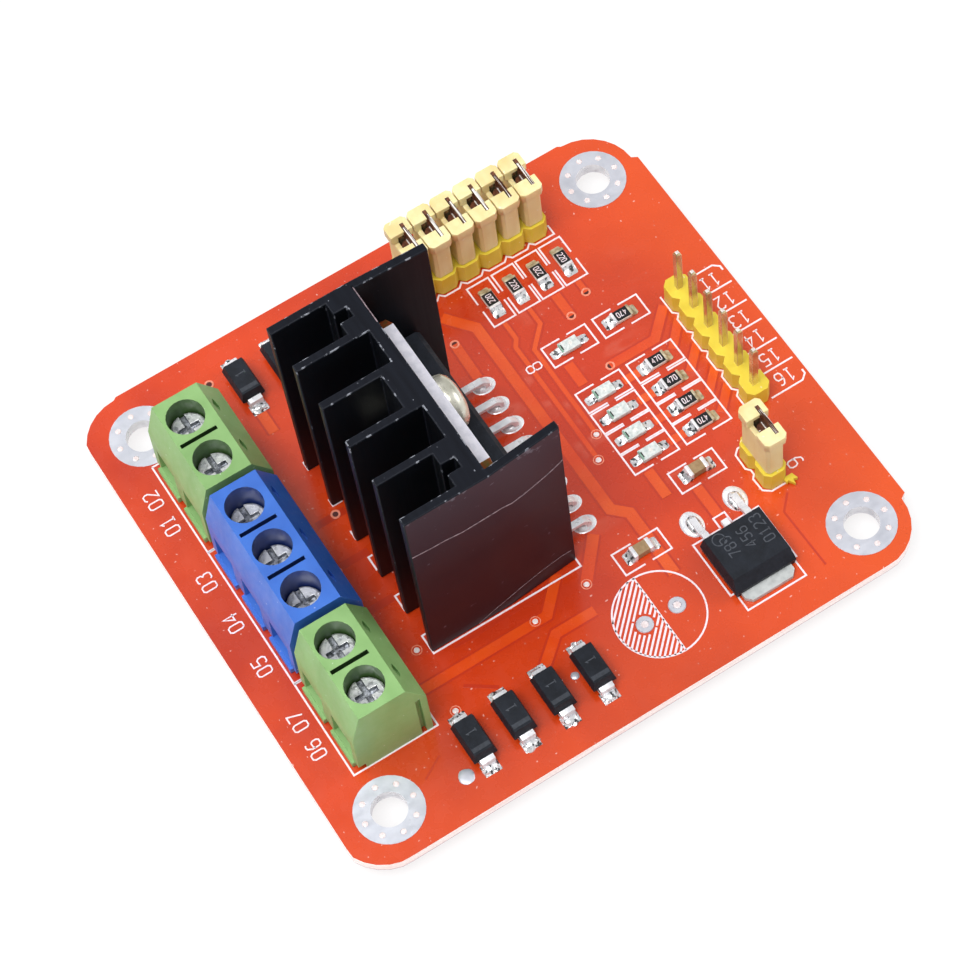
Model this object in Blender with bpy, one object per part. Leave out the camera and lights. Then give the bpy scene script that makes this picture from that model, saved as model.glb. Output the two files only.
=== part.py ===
"""Dual motor driver board: a circuit board with a heatsink, a fifteen-lead driver chip, screw
terminals, pin headers with jumper caps and small surface-mounted parts.

Every size below is in millimetres and becomes metres where a mesh is made. X runs along the row
of screw terminals, whose wire entries face -Y, and Z is up. The origin is on the plane that the
soldered lead tips stand on, under the middle of the four mounting holes.
"""

from math import cos, pi, sin, tau

import bmesh
import bpy

MM = 0.001

# Clearances between pieces
SEAT_GAP = 0.05
RUNNING_GAP = 0.1
MOULD_GAP = 0.02
CUT_PAST = 1.0

# Circuit board
BOARD_WIDTH = 55.88
BOARD_DEPTH = 60.96
BOARD_THICK = 1.2
BOARD_SHIFT_X = -0.2
CORNER_RADIUS = 5.0
CORNER_SHIFT_X = -0.05
CORNER_SHIFT_Y = -0.5
CORNER_STEPS = 7
NICK_RUN = 0.35
MOUNT_INSET = 5.08
MOUNT_HOLE = 3.4
MOUNT_PAD = 6.6
PAD_PROUD = 0.05
DRILL = 1.2
SPARE_DRILL = 0.9
LEAD_DROP = 2.0

MOUNT_X = BOARD_WIDTH / 2 - MOUNT_INSET
MOUNT_Y = BOARD_DEPTH / 2 - MOUNT_INSET
BOARD_LOW = LEAD_DROP
BOARD_TOP = BOARD_LOW + BOARD_THICK
SEAT = BOARD_TOP + SEAT_GAP

# Pin headers
PIN_PITCH = 2.54
PIN_SIDE = 0.64
PIN_POINT = 0.35
PIN_TIP_SHARE = 0.55
HEADER_HEIGHT = 2.5
HEADER_WIDTH = 2.5
HEADER_NOTCH = 0.55
CONTROL_PINS = 6
CONTROL_FIRST_X = -6.58
CONTROL_Y = 24.83
CONTROL_PIN_TOP = 8.54
BANK_ROWS = 6
BANK_INSET = 5.49
BANK_X = BANK_INSET - BOARD_WIDTH / 2
BANK_FIRST_Y = 4.65
SUPPLY_X = 12.85
SUPPLY_Y = 21.25
JUMPER_PIN_TOP = 7.8

# Jumper caps
CAP_LENGTH = 4.95
CAP_WIDTH = 2.4
CAP_CORNER = 0.35
CAP_TOP = 8.5
CAP_ROOF = 0.55
CAP_BORE_LENGTH = 4.0
CAP_BORE_WALL = 0.55
CAP_SADDLE = 1.5
CAP_SADDLE_DEPTH = 1.3
CLIP_LENGTH = 3.4
CLIP_THICK = 0.25
CLIP_SUNK = 0.1

# Driver chip and its metal tab
CHIP_X = 0.0
CHIP_WIDTH = 20.2
CHIP_HEIGHT = 17.5
CHIP_THICK = 5.0
CHIP_LIFT = 3.3
TAB_THICK = 1.9
TAB_INSET = 0.3
TAB_CHAMFER = 1.65
TAB_HOLE = 3.7
TAB_HOLE_DROP = 2.8
TAB_FREE = 6.8
MOULD_HEIGHT = CHIP_HEIGHT - TAB_FREE
MOULD_CHAMFER = 0.5
LEAD_COUNT = 15
LEAD_END_ROOM = 1.21
LEAD_PITCH = (CHIP_WIDTH - 2 * LEAD_END_ROOM) / (LEAD_COUNT - 1)
LEAD_WIDTH = 0.7
LEAD_THICK = 0.5
LEAD_INSET = 1.0
LEAD_ROW_GAP = 5.08
LEAD_FRONT_Y = 4.5
LEAD_RUN_Z = 1.5
LEAD_BEND = 0.6

# Heatsink, an extrusion standing on end around the chip
SINK_WALL = 0.85
SINK_SIDE_ROOM = 0.75
SINK_WIDTH = CHIP_WIDTH + 2 * (SINK_SIDE_ROOM + SINK_WALL)
SINK_OFF_MIDDLE = 0.2
SINK_LEFT = CHIP_X + SINK_OFF_MIDDLE - SINK_WIDTH / 2
SINK_BACK = 1.7
SINK_DEPTH = 15.9
SINK_HEIGHT = 25.2
LEFT_WALL_LEAN = 0.3
RIGHT_WALL_LEAN = 0.65
SINK_FIN = 0.8
SINK_FIN_COUNT = 4
SINK_FACE_Y = -5.7
SPINE_AT_SLOTS = 2.9
SPINE_AT_GAPS = 1.15
SPINE_AT_MIDDLE = 2.6
SLOT_WIDTH = 1.1
SLOT_DEPTH = 1.4

# Heatsink screw
SINK_SCREW_HEAD = 5.4
SINK_SCREW_DOME = 1.7
SINK_SCREW_RIM_SHARE = 0.3
SINK_SCREW_DOME_STEPS = 4
SINK_SCREW_ROUNDING = 0.6
SINK_SCREW_SHANK = 2.6
SINK_SCREW_LENGTH = 6.5
CROSS_WIDTH = 0.6
CROSS_REACH_SHARE = 0.55
CROSS_LOW_SHARE = 0.45

# Screw terminals
POLE_PITCH = 5.08
END_EXTRA = 0.08
TERMINAL_FRONT = -25.75
TERMINAL_DEPTH = 7.8
TERMINAL_HEIGHT = 10.0
FRONT_SLOPE_Z = 6.6
FRONT_LEAN = 0.2
FRONT_SLOPE_RUN = 1.05
BACK_SLOPE_Z = 7.0
BACK_SLOPE_RUN = 1.8
WELL_Y = -22.35
WELL = 3.7
SCREW_HEAD = 3.5
SCREW_HEAD_THICK = 1.2
SCREW_CHAMFER = 0.2
SCREW_SHANK = 2.6
SCREW_SLOT = 0.55
SCREW_SLOT_DEPTH = 0.6
SHORT_SLOT_SHARE = 0.32
SHOULDER = 0.4
FLOOR = 0.7
CLAMP_WIDTH = 3.7
CLAMP_DEPTH = 3.6
CLAMP_HEIGHT = 3.7
CLAMP_ROOF = 0.9
CLAMP_WALL = 0.5
CLAMP_SIDE_GAP = 0.15
TONGUE_THICK = 0.5
CONTACT_WIDTH = 0.8
CONTACT_LEG = 0.6
ENTRY_WIDTH = 3.4
ENTRY_LOW = 0.95
ENTRY_HIGH = 4.4
FOOT_WIDTH = 3.9
FOOT_PROUD = 0.3
FOOT_HEIGHT = 0.8
SLIT_WIDTH = 0.4
SLIT_LENGTH = 3.8
SLIT_DEPTH = 1.2
EYE_PLACE = 0.72
EYE_STEPS = 4
EYE_LENGTH = 1.6
EYE_WIDTH = 0.4
EYE_DEPTH = 1.0
RIB_WIDTH = 0.3
RIB_PROUD = 0.45
RIB_FROM_BACK = 0.9
GROOVE_WIDTH = 0.5
GROOVE_DEPTH = 0.55
RIB_HEIGHT = 6.8

END_POLES = 2
MIDDLE_POLES = 3
LEFT_X = -14.05
MIDDLE_X = -0.53
RIGHT_X = 13.1
END_SUNK = 2.1
MIDDLE_SUNK = 2.8

# Name, number of poles, middle X, depth of the screw heads below the top, material
TERMINALS = (
    ("terminal_left", END_POLES, LEFT_X, END_SUNK, "green_plastic"),
    ("terminal_middle", MIDDLE_POLES, MIDDLE_X, MIDDLE_SUNK, "blue_plastic"),
    ("terminal_right", END_POLES, RIGHT_X, END_SUNK, "green_plastic"),
)

# Small parts: length, width, height
RESISTOR_SIZE = (2.0, 1.25, 0.55)
CAPACITOR_SIZE = (2.1, 1.25, 0.9)
CHIP_END = 0.35
CHIP_END_STEP = 0.04
LED_SIZE = (2.0, 1.25, 0.8)
LED_BASE = 0.35
LED_LENS = 1.3
INPUT_RESISTOR_FROM_BANK = 5.75
INPUT_RESISTOR_X = BANK_X + INPUT_RESISTOR_FROM_BANK
INPUT_RESISTOR_TOP_Y = 17.95
INPUT_RESISTOR_PITCH = 2.73
INPUT_RESISTOR_COUNT = 4
INDICATOR_COUNT = 4
INDICATOR_FIRST_X = -2.05
INDICATOR_PITCH = 2.63
POWER_LED_X = -8.15
INDICATOR_RESISTOR_Y = 19.25
INDICATOR_LED_Y = 13.3
SPARE_X = 20.35
SPARE_Y = 5.05
SPARE_PITCH = 3.5

# Diodes
DIODE_LENGTH = 4.2
DIODE_WIDTH = 2.45
DIODE_HEIGHT = 2.1
DIODE_DRAFT = 0.25
DIODE_LIFT = 0.4
DIODE_LEAD_WIDTH = 1.4
DIODE_LEAD_THICK = 0.25
DIODE_LEAD_REACH = 0.5
DIODE_LEAD_UNDER = 0.8
DIODE_PARTING = 1.05
DIODE_PITCH = 4.2
DIODE_COUNT = 4
LEFT_DIODE_INSET = 5.94
RIGHT_DIODE_INSET = 6.19
LEFT_DIODE_X = LEFT_DIODE_INSET - BOARD_WIDTH / 2
RIGHT_DIODE_X = BOARD_WIDTH / 2 - RIGHT_DIODE_INSET
LEFT_DIODE_Y = -14.65
RIGHT_DIODE_Y = -15.75

# Voltage regulator
REG_INSET = 7.64
REG_X = BOARD_WIDTH / 2 - REG_INSET
CAPACITOR_1_FROM_REG = 10.5
CAPACITOR_2_FROM_REG = 6.35
CAPACITOR_PLACES = ((REG_X - CAPACITOR_1_FROM_REG, 15.95), (REG_X - CAPACITOR_2_FROM_REG, 7.1))
REG_Y = 14.87
REG_LENGTH = 6.2
REG_WIDTH = 6.5
REG_HEIGHT = 2.3
REG_CHAMFER = 0.4
REG_TAB_LENGTH = 5.2
REG_TAB_WIDTH = 5.4
REG_TAB_THICK = 0.5
REG_TAB_OUT = 1.0
REG_TAB_CHAMFER = 0.7
REG_LEAD_PITCH = 2.29
REG_LEAD_WIDTH = 0.75
REG_LEAD_THICK = 0.5
REG_LEAD_REACH = 3.2
REG_LEAD_STEP_OUT = 1.05
REG_LEAD_STEP_IN = 1.6
REG_STUB = 1.0


def linear(hex_colour):
    """Linear RGBA of an sRGB colour written as six hex digits."""
    parts = [int(hex_colour[i:i + 2], 16) / 255 for i in (0, 2, 4)]
    return [((c + 0.055) / 1.055) ** 2.4 if c > 0.04045 else c / 12.92 for c in parts] + [1.0]


# Colour, roughness and metallic value of each material
FINISHES = {
    "red_board": ("E04A2B", 0.35, 0.0),
    "black_anodised": ("1E1E24", 0.45, 0.6),
    "black_epoxy": ("25272B", 0.55, 0.0),
    "tinned_copper": ("D4D4D8", 0.3, 1.0),
    "zinc_steel": ("BDBFC4", 0.3, 1.0),
    "green_plastic": ("93C478", 0.4, 0.0),
    "blue_plastic": ("4A80E0", 0.4, 0.0),
    "yellow_plastic": ("F0DC30", 0.45, 0.0),
    "pale_yellow_plastic": ("F0DC84", 0.45, 0.0),
    "tan_ceramic": ("A08460", 0.5, 0.0),
    "led_resin": ("F0F2EE", 0.35, 0.0),
}


def material(name):
    """The named material, made on first use."""
    found = bpy.data.materials.get(name)
    if found:
        return found
    colour, roughness, metallic = FINISHES[name]
    made = bpy.data.materials.new(name)
    made.use_nodes = True
    shader = made.node_tree.nodes["Principled BSDF"]
    shader.inputs["Base Color"].default_value = linear(colour)
    shader.inputs["Roughness"].default_value = roughness
    shader.inputs["Metallic"].default_value = metallic
    made.diffuse_color = linear(colour)
    return made


def along_x(u, v, w):
    """A point of an outline drawn in Y and Z, at w along X."""
    return (w, u, v)


def along_y(u, v, w):
    """A point of an outline drawn in X and Z, at w along Y."""
    return (u, w, v)


def along_z(u, v, w):
    """A point of an outline drawn in X and Y, at w along Z."""
    return (u, v, w)


def prism(outline, low, high, place=along_z):
    """Levels of a prism: an outline carried from low to high along one axis."""
    return [[place(u, v, w) for u, v in outline] for w in (low, high)]


def box(x0, x1, y0, y1, z0, z1):
    """Levels of a box."""
    return prism([(x0, y0), (x1, y0), (x1, y1), (x0, y1)], z0, z1)


def turned(profile, segments, centre=(0.0, 0.0)):
    """Levels of a turned solid: radius and height pairs swept around a vertical axis."""
    levels = []
    for radius, height in profile:
        steps = [tau * (i + 0.5) / segments for i in range(segments)]
        levels.append([(centre[0] + radius * cos(a), centre[1] + radius * sin(a), height) for a in steps])
    return levels


def rectangles(sizes):
    """Levels of a drafted block: length, width and height of each rectangle."""
    levels = []
    for length, width, height in sizes:
        a, b = length / 2, width / 2
        levels.append([(-a, -b, height), (a, -b, height), (a, b, height), (-a, b, height)])
    return levels


def shifted(levels, dx=0.0, dy=0.0, dz=0.0):
    """The same levels, moved."""
    return [[(x + dx, y + dy, z + dz) for x, y, z in level] for level in levels]


def strip(path, thickness):
    """Outline of a bent strip whose middle line follows the path."""
    left, right = [], []
    for i, (u, v) in enumerate(path):
        before = path[max(i - 1, 0)]
        after = path[min(i + 1, len(path) - 1)]
        du0, dv0 = unit(u - before[0], v - before[1]) if i else unit(after[0] - u, after[1] - v)
        du1, dv1 = unit(after[0] - u, after[1] - v) if i < len(path) - 1 else (du0, dv0)
        nu, nv = unit(-(dv0 + dv1), du0 + du1)
        reach = thickness / 2 / max(0.4, nu * -dv0 + nv * du0)
        left.append((u + nu * reach, v + nv * reach))
        right.append((u - nu * reach, v - nv * reach))
    return left + right[::-1]


def unit(u, v):
    """The direction of (u, v) with length one."""
    size = (u * u + v * v) ** 0.5 or 1.0
    return u / size, v / size


def chamfered_rectangle(width, depth, chamfer):
    """Outline of a rectangle with its corners cut at 45 degrees, centred on the origin."""
    a, b, c = width / 2, depth / 2, chamfer
    return [(-a + c, -b), (a - c, -b), (a, -b + c), (a, b - c), (a - c, b), (-a + c, b), (-a, b - c), (-a, -b + c)]


def mesh_from(name, solids):
    """One mesh that holds each solid as a closed shell facing out."""
    shape = bmesh.new()
    for levels in solids:
        rings = [[shape.verts.new((x * MM, y * MM, z * MM)) for x, y, z in level] for level in levels]
        count = len(rings[0])
        shape.faces.new(rings[0][::-1])
        shape.faces.new(rings[-1])
        for low, high in zip(rings, rings[1:]):
            for i in range(count):
                j = (i + 1) % count
                shape.faces.new((low[i], low[j], high[j], high[i]))
    bmesh.ops.recalc_face_normals(shape, faces=shape.faces)
    mesh = bpy.data.meshes.new(name)
    shape.to_mesh(mesh)
    shape.free()
    return mesh


def add_piece(name, solids, finish, place=(0.0, 0.0, 0.0), turn=(0.0, 0.0, 0.0), smooth=False):
    """One named piece, with its origin at the given place."""
    mesh = mesh_from(name, solids)
    mesh.materials.append(material(finish))
    if smooth:
        mesh.shade_smooth()
        mesh.set_sharp_from_angle(angle=pi / 5)
    piece = bpy.data.objects.new(name, mesh)
    bpy.context.collection.objects.link(piece)
    piece.location = [value * MM for value in place]
    piece.rotation_euler = turn
    return piece


def combine(piece, operation, solids):
    """Cut the solids out of the piece, or fuse them to it. They are given from the piece's origin."""
    label = piece.name + "_" + operation.lower() + str(len(piece.modifiers))
    tool = bpy.data.objects.new(label, mesh_from(label, solids))
    bpy.context.collection.objects.link(tool)
    tool.parent = piece
    tool.hide_render = True
    tool.display_type = "WIRE"
    step = piece.modifiers.new(label, "BOOLEAN")
    step.operation = operation
    step.solver = "EXACT"
    step.object = tool


def cut(piece, solids):
    combine(piece, "DIFFERENCE", solids)


def fuse(piece, solids):
    combine(piece, "UNION", solids)


def rows(first, pitch, count):
    """Evenly spaced places."""
    return [first + pitch * i for i in range(count)]


def pole_places(poles, middle):
    """X of each pole of a terminal block."""
    return rows(middle - POLE_PITCH * (poles - 1) / 2, POLE_PITCH, poles)


def lead_places():
    """X and Y of each lead of the driver chip where it enters the board, and whether it bends forward."""
    first = CHIP_X - LEAD_PITCH * (LEAD_COUNT - 1) / 2
    places = []
    for i, x in enumerate(rows(first, LEAD_PITCH, LEAD_COUNT)):
        forward = i % 2 == 0
        places.append((x, LEAD_FRONT_Y if forward else LEAD_FRONT_Y - LEAD_ROW_GAP, forward))
    return places


def bank_pins():
    """X and Y of the pins under the bank of jumper caps."""
    columns = (BANK_X - PIN_PITCH / 2, BANK_X + PIN_PITCH / 2)
    return [(x, y) for y in rows(BANK_FIRST_Y, PIN_PITCH, BANK_ROWS) for x in columns]


def supply_pins():
    """X and Y of the two pins under the single jumper cap."""
    return [(SUPPLY_X - PIN_PITCH / 2, SUPPLY_Y), (SUPPLY_X + PIN_PITCH / 2, SUPPLY_Y)]


def control_pins():
    """X and Y of the control header's pins."""
    return [(x, CONTROL_Y) for x in rows(CONTROL_FIRST_X, PIN_PITCH, CONTROL_PINS)]


def contact_y():
    """Y of the terminals' legs, just behind the clamps."""
    return WELL_Y + CLAMP_DEPTH / 2 + CLAMP_SIDE_GAP + CONTACT_LEG / 2


def board_outline():
    """Outline of the board: a rectangle cut at its corners by arcs that stand a little off it, with small nicks."""
    left, right = BOARD_SHIFT_X - BOARD_WIDTH / 2, BOARD_SHIFT_X + BOARD_WIDTH / 2
    front, back = -BOARD_DEPTH / 2, BOARD_DEPTH / 2
    edges = ((None, back), (left, None), (None, front), (right, None))
    turns = ((1, 1), (-1, 1), (-1, -1), (1, -1))
    middles = [(sx * MOUNT_X + CORNER_SHIFT_X, sy * MOUNT_Y + CORNER_SHIFT_Y) for sx, sy in turns]
    points = []
    for quarter, (cx, cy) in enumerate(middles):
        for i in range(CORNER_STEPS + 1):
            angle = (quarter + i / CORNER_STEPS) * pi / 2
            x, y = cx + CORNER_RADIUS * cos(angle), cy + CORNER_RADIUS * sin(angle)
            points.append((min(max(x, left), right), min(max(y, front), back)))
        following = middles[(quarter + 1) % len(middles)]
        edge_x, edge_y = edges[quarter]
        for (mx, my), way in (((cx, cy), -1), (following, 1)):
            if edge_x is None:
                points.append((mx - way * turns[quarter][1] * -NICK_RUN, edge_y))
            else:
                points.append((edge_x, my - way * turns[quarter][0] * NICK_RUN))
    return points


def make_board():
    """The board with its drilled holes and the raised ring pads of the four mounting holes."""
    board = add_piece("circuit_board", [prism(board_outline(), BOARD_LOW, BOARD_TOP)], "red_board")
    corners = [(x, y) for x in (-MOUNT_X, MOUNT_X) for y in (-MOUNT_Y, MOUNT_Y)]
    pad_levels = [(MOUNT_PAD / 2, BOARD_LOW - PAD_PROUD), (MOUNT_PAD / 2, BOARD_TOP + PAD_PROUD)]
    fuse(board, [turned(pad_levels, 32, corner) for corner in corners])
    low, high = BOARD_LOW - CUT_PAST, BOARD_TOP + CUT_PAST
    holes = [turned([(MOUNT_HOLE / 2, low), (MOUNT_HOLE / 2, high)], 32, corner) for corner in corners]
    drilled = control_pins() + bank_pins() + supply_pins() + [(x, y) for x, y, forward in lead_places()]
    for _, poles, middle, _, _ in TERMINALS:
        drilled += [(x, contact_y()) for x in pole_places(poles, middle)]
    holes += [turned([(DRILL / 2, low), (DRILL / 2, high)], 8, place) for place in drilled]
    spare = [(SPARE_X, SPARE_Y - SPARE_PITCH / 2), (SPARE_X, SPARE_Y + SPARE_PITCH / 2)]
    holes += [turned([(SPARE_DRILL / 2, low), (SPARE_DRILL / 2, high)], 12, place) for place in spare]
    cut(board, holes)


def sink_outline():
    """Section of the heatsink: a spine with fins facing -Y between two end walls, whose backs lean in a little."""
    left, right = SINK_LEFT, SINK_LEFT + SINK_WIDTH
    front = SINK_BACK - SINK_DEPTH
    left_end, right_end = left + LEFT_WALL_LEAN, right - RIGHT_WALL_LEAN
    points = [(left, front), (left, SINK_FACE_Y), (left_end, SINK_BACK), (left_end + SINK_WALL, SINK_BACK),
              (left + SINK_WALL, SINK_FACE_Y)]
    points += [(right - SINK_WALL, SINK_FACE_Y), (right_end - SINK_WALL, SINK_BACK), (right_end, SINK_BACK),
               (right, SINK_FACE_Y), (right, front)]
    gaps = SINK_FIN_COUNT + 1
    gap = (SINK_WIDTH - 2 * SINK_WALL - SINK_FIN_COUNT * SINK_FIN) / gaps
    for i in range(gaps):
        high = right - SINK_WALL - i * (gap + SINK_FIN)
        low = high - gap
        spine = SPINE_AT_GAPS
        if i in (0, gaps - 1):
            spine = SPINE_AT_SLOTS
        elif i == gaps // 2:
            spine = SPINE_AT_MIDDLE
        bottom = SINK_FACE_Y - spine
        points += [(high, front), (high, bottom)]
        if i in (0, gaps - 1):
            middle = (high + low) / 2
            points += [(middle + SLOT_WIDTH / 2, bottom), (middle + SLOT_WIDTH / 2, bottom + SLOT_DEPTH)]
            points += [(middle - SLOT_WIDTH / 2, bottom + SLOT_DEPTH), (middle - SLOT_WIDTH / 2, bottom)]
        points += [(low, bottom), (low, front)]
    return points


def tab_hole_z():
    """Height of the tab's screw hole."""
    return BOARD_TOP + CHIP_LIFT + CHIP_HEIGHT - TAB_HOLE_DROP


def sideways_hole(diameter, x, z, y0, y1, segments=16):
    """Levels of a round hole along Y."""
    steps = [tau * (i + 0.5) / segments for i in range(segments)]
    outline = [(x + diameter / 2 * cos(a), z + diameter / 2 * sin(a)) for a in steps]
    return prism(outline, y0, y1, along_y)


def make_heatsink():
    """The finned extrusion, tapped for the chip's screw."""
    sink = add_piece("heatsink", [prism(sink_outline(), SEAT, SEAT + SINK_HEIGHT)], "black_anodised")
    tapped = SINK_SCREW_SHANK + 2 * SEAT_GAP
    through = SINK_FACE_Y - SPINE_AT_MIDDLE - CUT_PAST
    cut(sink, [sideways_hole(tapped, CHIP_X, tab_hole_z(), through, SINK_FACE_Y + CUT_PAST)])


def tab_back_y():
    """Y of the chip's metal back, held against the heatsink."""
    return SINK_FACE_Y + SEAT_GAP


def make_chip():
    """The driver chip: a moulded body with two rows of bent leads, and its metal tab."""
    low = BOARD_TOP + CHIP_LIFT
    back = tab_back_y()
    half = CHIP_WIDTH / 2 - TAB_INSET
    c = TAB_CHAMFER
    top = low + CHIP_HEIGHT
    tab = [(-half, low), (half, low), (half, top - c), (half - c, top), (-half + c, top), (-half, top - c)]
    outline = [(CHIP_X + x, z) for x, z in tab]
    plate = add_piece("driver_chip_tab", [prism(outline, back, back + TAB_THICK, along_y)], "tinned_copper")
    front = back + TAB_THICK
    cut(plate, [sideways_hole(TAB_HOLE, CHIP_X, tab_hole_z(), back - CUT_PAST, front + CUT_PAST, 24)])

    mould_back = front + MOULD_GAP
    mould_front = back + CHIP_THICK
    mould_top = low + MOULD_HEIGHT
    m = MOULD_CHAMFER
    side = [(mould_back, low), (mould_front - m, low), (mould_front, low + m), (mould_front, mould_top - m),
            (mould_front - m, mould_top), (mould_back, mould_top)]
    body = [prism(side, CHIP_X - CHIP_WIDTH / 2, CHIP_X + CHIP_WIDTH / 2, along_x)]
    chip = add_piece("driver_chip", body, "black_epoxy")
    exit_y = mould_back + LEAD_INSET
    run = BOARD_TOP + LEAD_RUN_Z
    leads = []
    for x, y, forward in lead_places():
        if forward:
            path = [(exit_y, low + m), (exit_y, run + LEAD_BEND), (exit_y + LEAD_BEND, run), (y - LEAD_BEND, run),
                    (y, run - LEAD_BEND), (y, 0.0)]
        else:
            path = [(exit_y, low + m), (exit_y, run + 2 * LEAD_BEND), (y, run), (y, 0.0)]
        leads.append(prism(strip(path, LEAD_THICK), x - LEAD_WIDTH / 2, x + LEAD_WIDTH / 2, along_x))
    fuse(chip, leads)


def make_heatsink_screw():
    """Pan-head screw that holds the chip's tab to the heatsink, with its head towards +Y."""
    radius = SINK_SCREW_HEAD / 2
    profile = [(SINK_SCREW_SHANK / 2, -SINK_SCREW_LENGTH), (SINK_SCREW_SHANK / 2, 0.0), (radius, 0.0)]
    rim = SINK_SCREW_DOME * SINK_SCREW_RIM_SHARE
    for i in range(SINK_SCREW_DOME_STEPS):
        angle = pi / 2 * i / SINK_SCREW_DOME_STEPS
        height = rim + (SINK_SCREW_DOME - rim) * sin(angle)
        profile.append((radius * cos(angle) ** SINK_SCREW_ROUNDING, height))
    seat = tab_back_y() + TAB_THICK + MOULD_GAP
    screw = add_piece("heatsink_screw", [turned(profile, 24)], "zinc_steel", (CHIP_X, seat, tab_hole_z()),
                      (-pi / 2, 0.0, 0.0), smooth=True)
    w = CROSS_WIDTH / 2
    reach = radius * CROSS_REACH_SHARE
    cross = [(-w, -reach), (w, -reach), (w, -w), (reach, -w), (reach, w), (w, w), (w, reach), (-w, reach), (-w, w),
             (-reach, w), (-reach, -w), (-w, -w)]
    cut(screw, [prism(cross, SINK_SCREW_DOME * CROSS_LOW_SHARE, SINK_SCREW_DOME + CUT_PAST)])


def terminal_outline():
    """Side of a terminal block in Y and Z: sloped shoulders under a flat top."""
    front = TERMINAL_FRONT
    back = front + TERMINAL_DEPTH
    z = SEAT
    return [(front, z), (back, z), (back, z + BACK_SLOPE_Z), (back - BACK_SLOPE_RUN, z + TERMINAL_HEIGHT),
            (front + FRONT_LEAN + FRONT_SLOPE_RUN, z + TERMINAL_HEIGHT), (front + FRONT_LEAN, z + FRONT_SLOPE_Z)]


def eye_outline(x, y):
    """Outline of the narrow pointed slot in a terminal's back slope."""
    half = EYE_LENGTH / 2
    shares = [i / EYE_STEPS for i in range(EYE_STEPS)]
    lower = [(x - half + EYE_LENGTH * share, y - EYE_WIDTH / 2 * sin(pi * share)) for share in shares]
    upper = [(x + half - EYE_LENGTH * share, y + EYE_WIDTH / 2 * sin(pi * share)) for share in shares]
    return lower + upper


def clamp_low():
    """Height of the clamps' undersides when they are open."""
    return SEAT + FLOOR + RUNNING_GAP


def tongue_top():
    """Height of the contact tongues, just under the clamps' roofs."""
    return clamp_low() + CLAMP_HEIGHT - CLAMP_ROOF - RUNNING_GAP


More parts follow.
